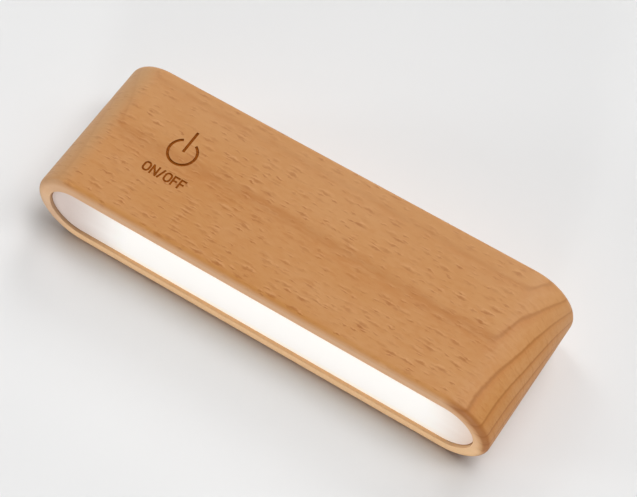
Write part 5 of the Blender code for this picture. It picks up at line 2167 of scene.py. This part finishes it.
@dataclass
class Studio:
    """A plain pale floor, soft light, and a camera at the photograph's angle."""

    azimuth: float = math.radians(31.782)
    elevation: float = math.radians(58.810)
    roll: float = math.radians(1.165)
    distance: float = 0.834444
    target: Place = (-0.0023, 0.015299, 0.0)
    focal_pixels: float = 2149.686
    picture_width: float = 637.0
    sensor: float = 36.0
    near: float = 0.05
    far: float = 60.0
    floor_half: float = 15.0
    floor_colour: Colour = shade(234, 234, 234)
    floor_mottle: Colour = shade(232, 232, 232)
    floor_cell: Size = (220.0, 220.0, 220.0)
    sky_strength: float = 0.02
    suns: tuple[Sun, ...] = (
        Sun("back", 0.193, 180, 42, 24),
        Sun("right", 0.19, 105, 60, 22),
        Sun("key", 0.17, 135, 72, 22),
        Sun("high_right", 0.118, 105, 72, 22),
        Sun("back_left", 0.106, 240, 42, 24),
        Sun("back_right", 0.082, 120, 42, 24),
        Sun("left", 0.057, 225, 60, 24),
        Sun("front", 0.042, 20, 6, 10),
        Sun("front_left", 0.042, 300, 8, 14),
    )

    def camera(self) -> None:
        """Sets the camera."""
        back = toward(self.azimuth, self.elevation)
        right = Vector((math.cos(self.azimuth), math.sin(self.azimuth), 0))
        up = back.cross(right)
        across = right * math.cos(self.roll) + up * math.sin(self.roll)
        upward = up * math.cos(self.roll) - right * math.sin(self.roll)
        data = bpy.data.cameras.new("camera")
        data.sensor_width = self.sensor
        data.lens = self.focal_pixels * self.sensor / self.picture_width
        data.clip_start = self.near
        data.clip_end = self.far
        eye = bpy.data.objects.new("camera", data)
        axes = Matrix((across, upward, back)).transposed().to_4x4()
        eye.matrix_world = Matrix.Translation(Vector(self.target) + back * self.distance) @ axes
        bpy.context.scene.collection.objects.link(eye)
        bpy.context.scene.camera = eye

    def floor(self) -> None:
        """Lays the floor."""
        bm = bmesh.new()
        bmesh.ops.create_grid(bm, x_segments=1, y_segments=1, size=self.floor_half)
        recipe = Recipe("pale_floor")
        cloud = recipe.noise(recipe.place, self.floor_cell)
        colour = recipe.mix(recipe.span(cloud, *NOISE_MIDDLE), self.floor_colour, self.floor_mottle)
        recipe.set(Base_Color=colour, Roughness=1.0, Specular_IOR_Level=0.0)
        solid("floor", bm, recipe.material)

    def sky(self) -> None:
        """Sets soft light all round, and the floor's colour behind everything."""
        world = bpy.data.worlds.new("studio")
        world.use_nodes = True
        tree = world.node_tree
        tree.nodes.clear()
        output = tree.nodes.new("ShaderNodeOutputWorld")
        rays = tree.nodes.new("ShaderNodeLightPath")
        mixer = tree.nodes.new("ShaderNodeMixShader")
        lighting = tree.nodes.new("ShaderNodeBackground")
        lighting.inputs["Color"].default_value = (1.0, 1.0, 1.0, 1.0)
        lighting.inputs["Strength"].default_value = self.sky_strength
        seen = tree.nodes.new("ShaderNodeBackground")
        seen.inputs["Color"].default_value = self.floor_colour
        seen.inputs["Strength"].default_value = 1.0
        share = rays.outputs["Is Camera Ray"]
        for kind in ("Is Glossy Ray", "Is Transmission Ray"):
            either = tree.nodes.new("ShaderNodeMath")
            either.operation = "MAXIMUM"
            tree.links.new(share, either.inputs[0])
            tree.links.new(rays.outputs[kind], either.inputs[1])
            share = either.outputs["Value"]
        tree.links.new(share, mixer.inputs["Fac"])
        tree.links.new(lighting.outputs["Background"], mixer.inputs[1])
        tree.links.new(seen.outputs["Background"], mixer.inputs[2])
        tree.links.new(mixer.outputs["Shader"], output.inputs["Surface"])
        bpy.context.scene.world = world

    def build(self) -> None:
        """Sets the camera, floor and light."""
        self.camera()
        self.floor()
        self.sky()
        for sun in self.suns:
            sun.build()
        bpy.context.scene.view_settings.view_transform = "Standard"
        log.info("studio set")


def dress_nodes() -> None:
    """Gives each CAD node the procedural finish of its slot."""
    slots = {part["node"]: part["material_slot"] for part in frame["record"]["subparts"]}
    for name, node in frame["nodes"].items():
        node.data.materials.clear()
        node.data.materials.append(Finish[slots[name].upper()].made())
    log.info("%d nodes dressed", len(slots))


def main() -> None:
    """Builds the lamp's pieces in order and sets the studio."""
    logging.basicConfig(level=logging.INFO, format="%(name)s: %(message)s")
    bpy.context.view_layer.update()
    Block().build()
    Diffuser().build()
    ChargePort().build()
    Magnets().build()
    LightStrip().build()
    Screws().build()
    Cell().build()
    CellPad().build()
    Chassis().build()
    Leads().build()
    TouchSpring().build()
    ControlBoard().build()
    dress_nodes()
    Studio().build()


if __name__ == "__main__":
    main()
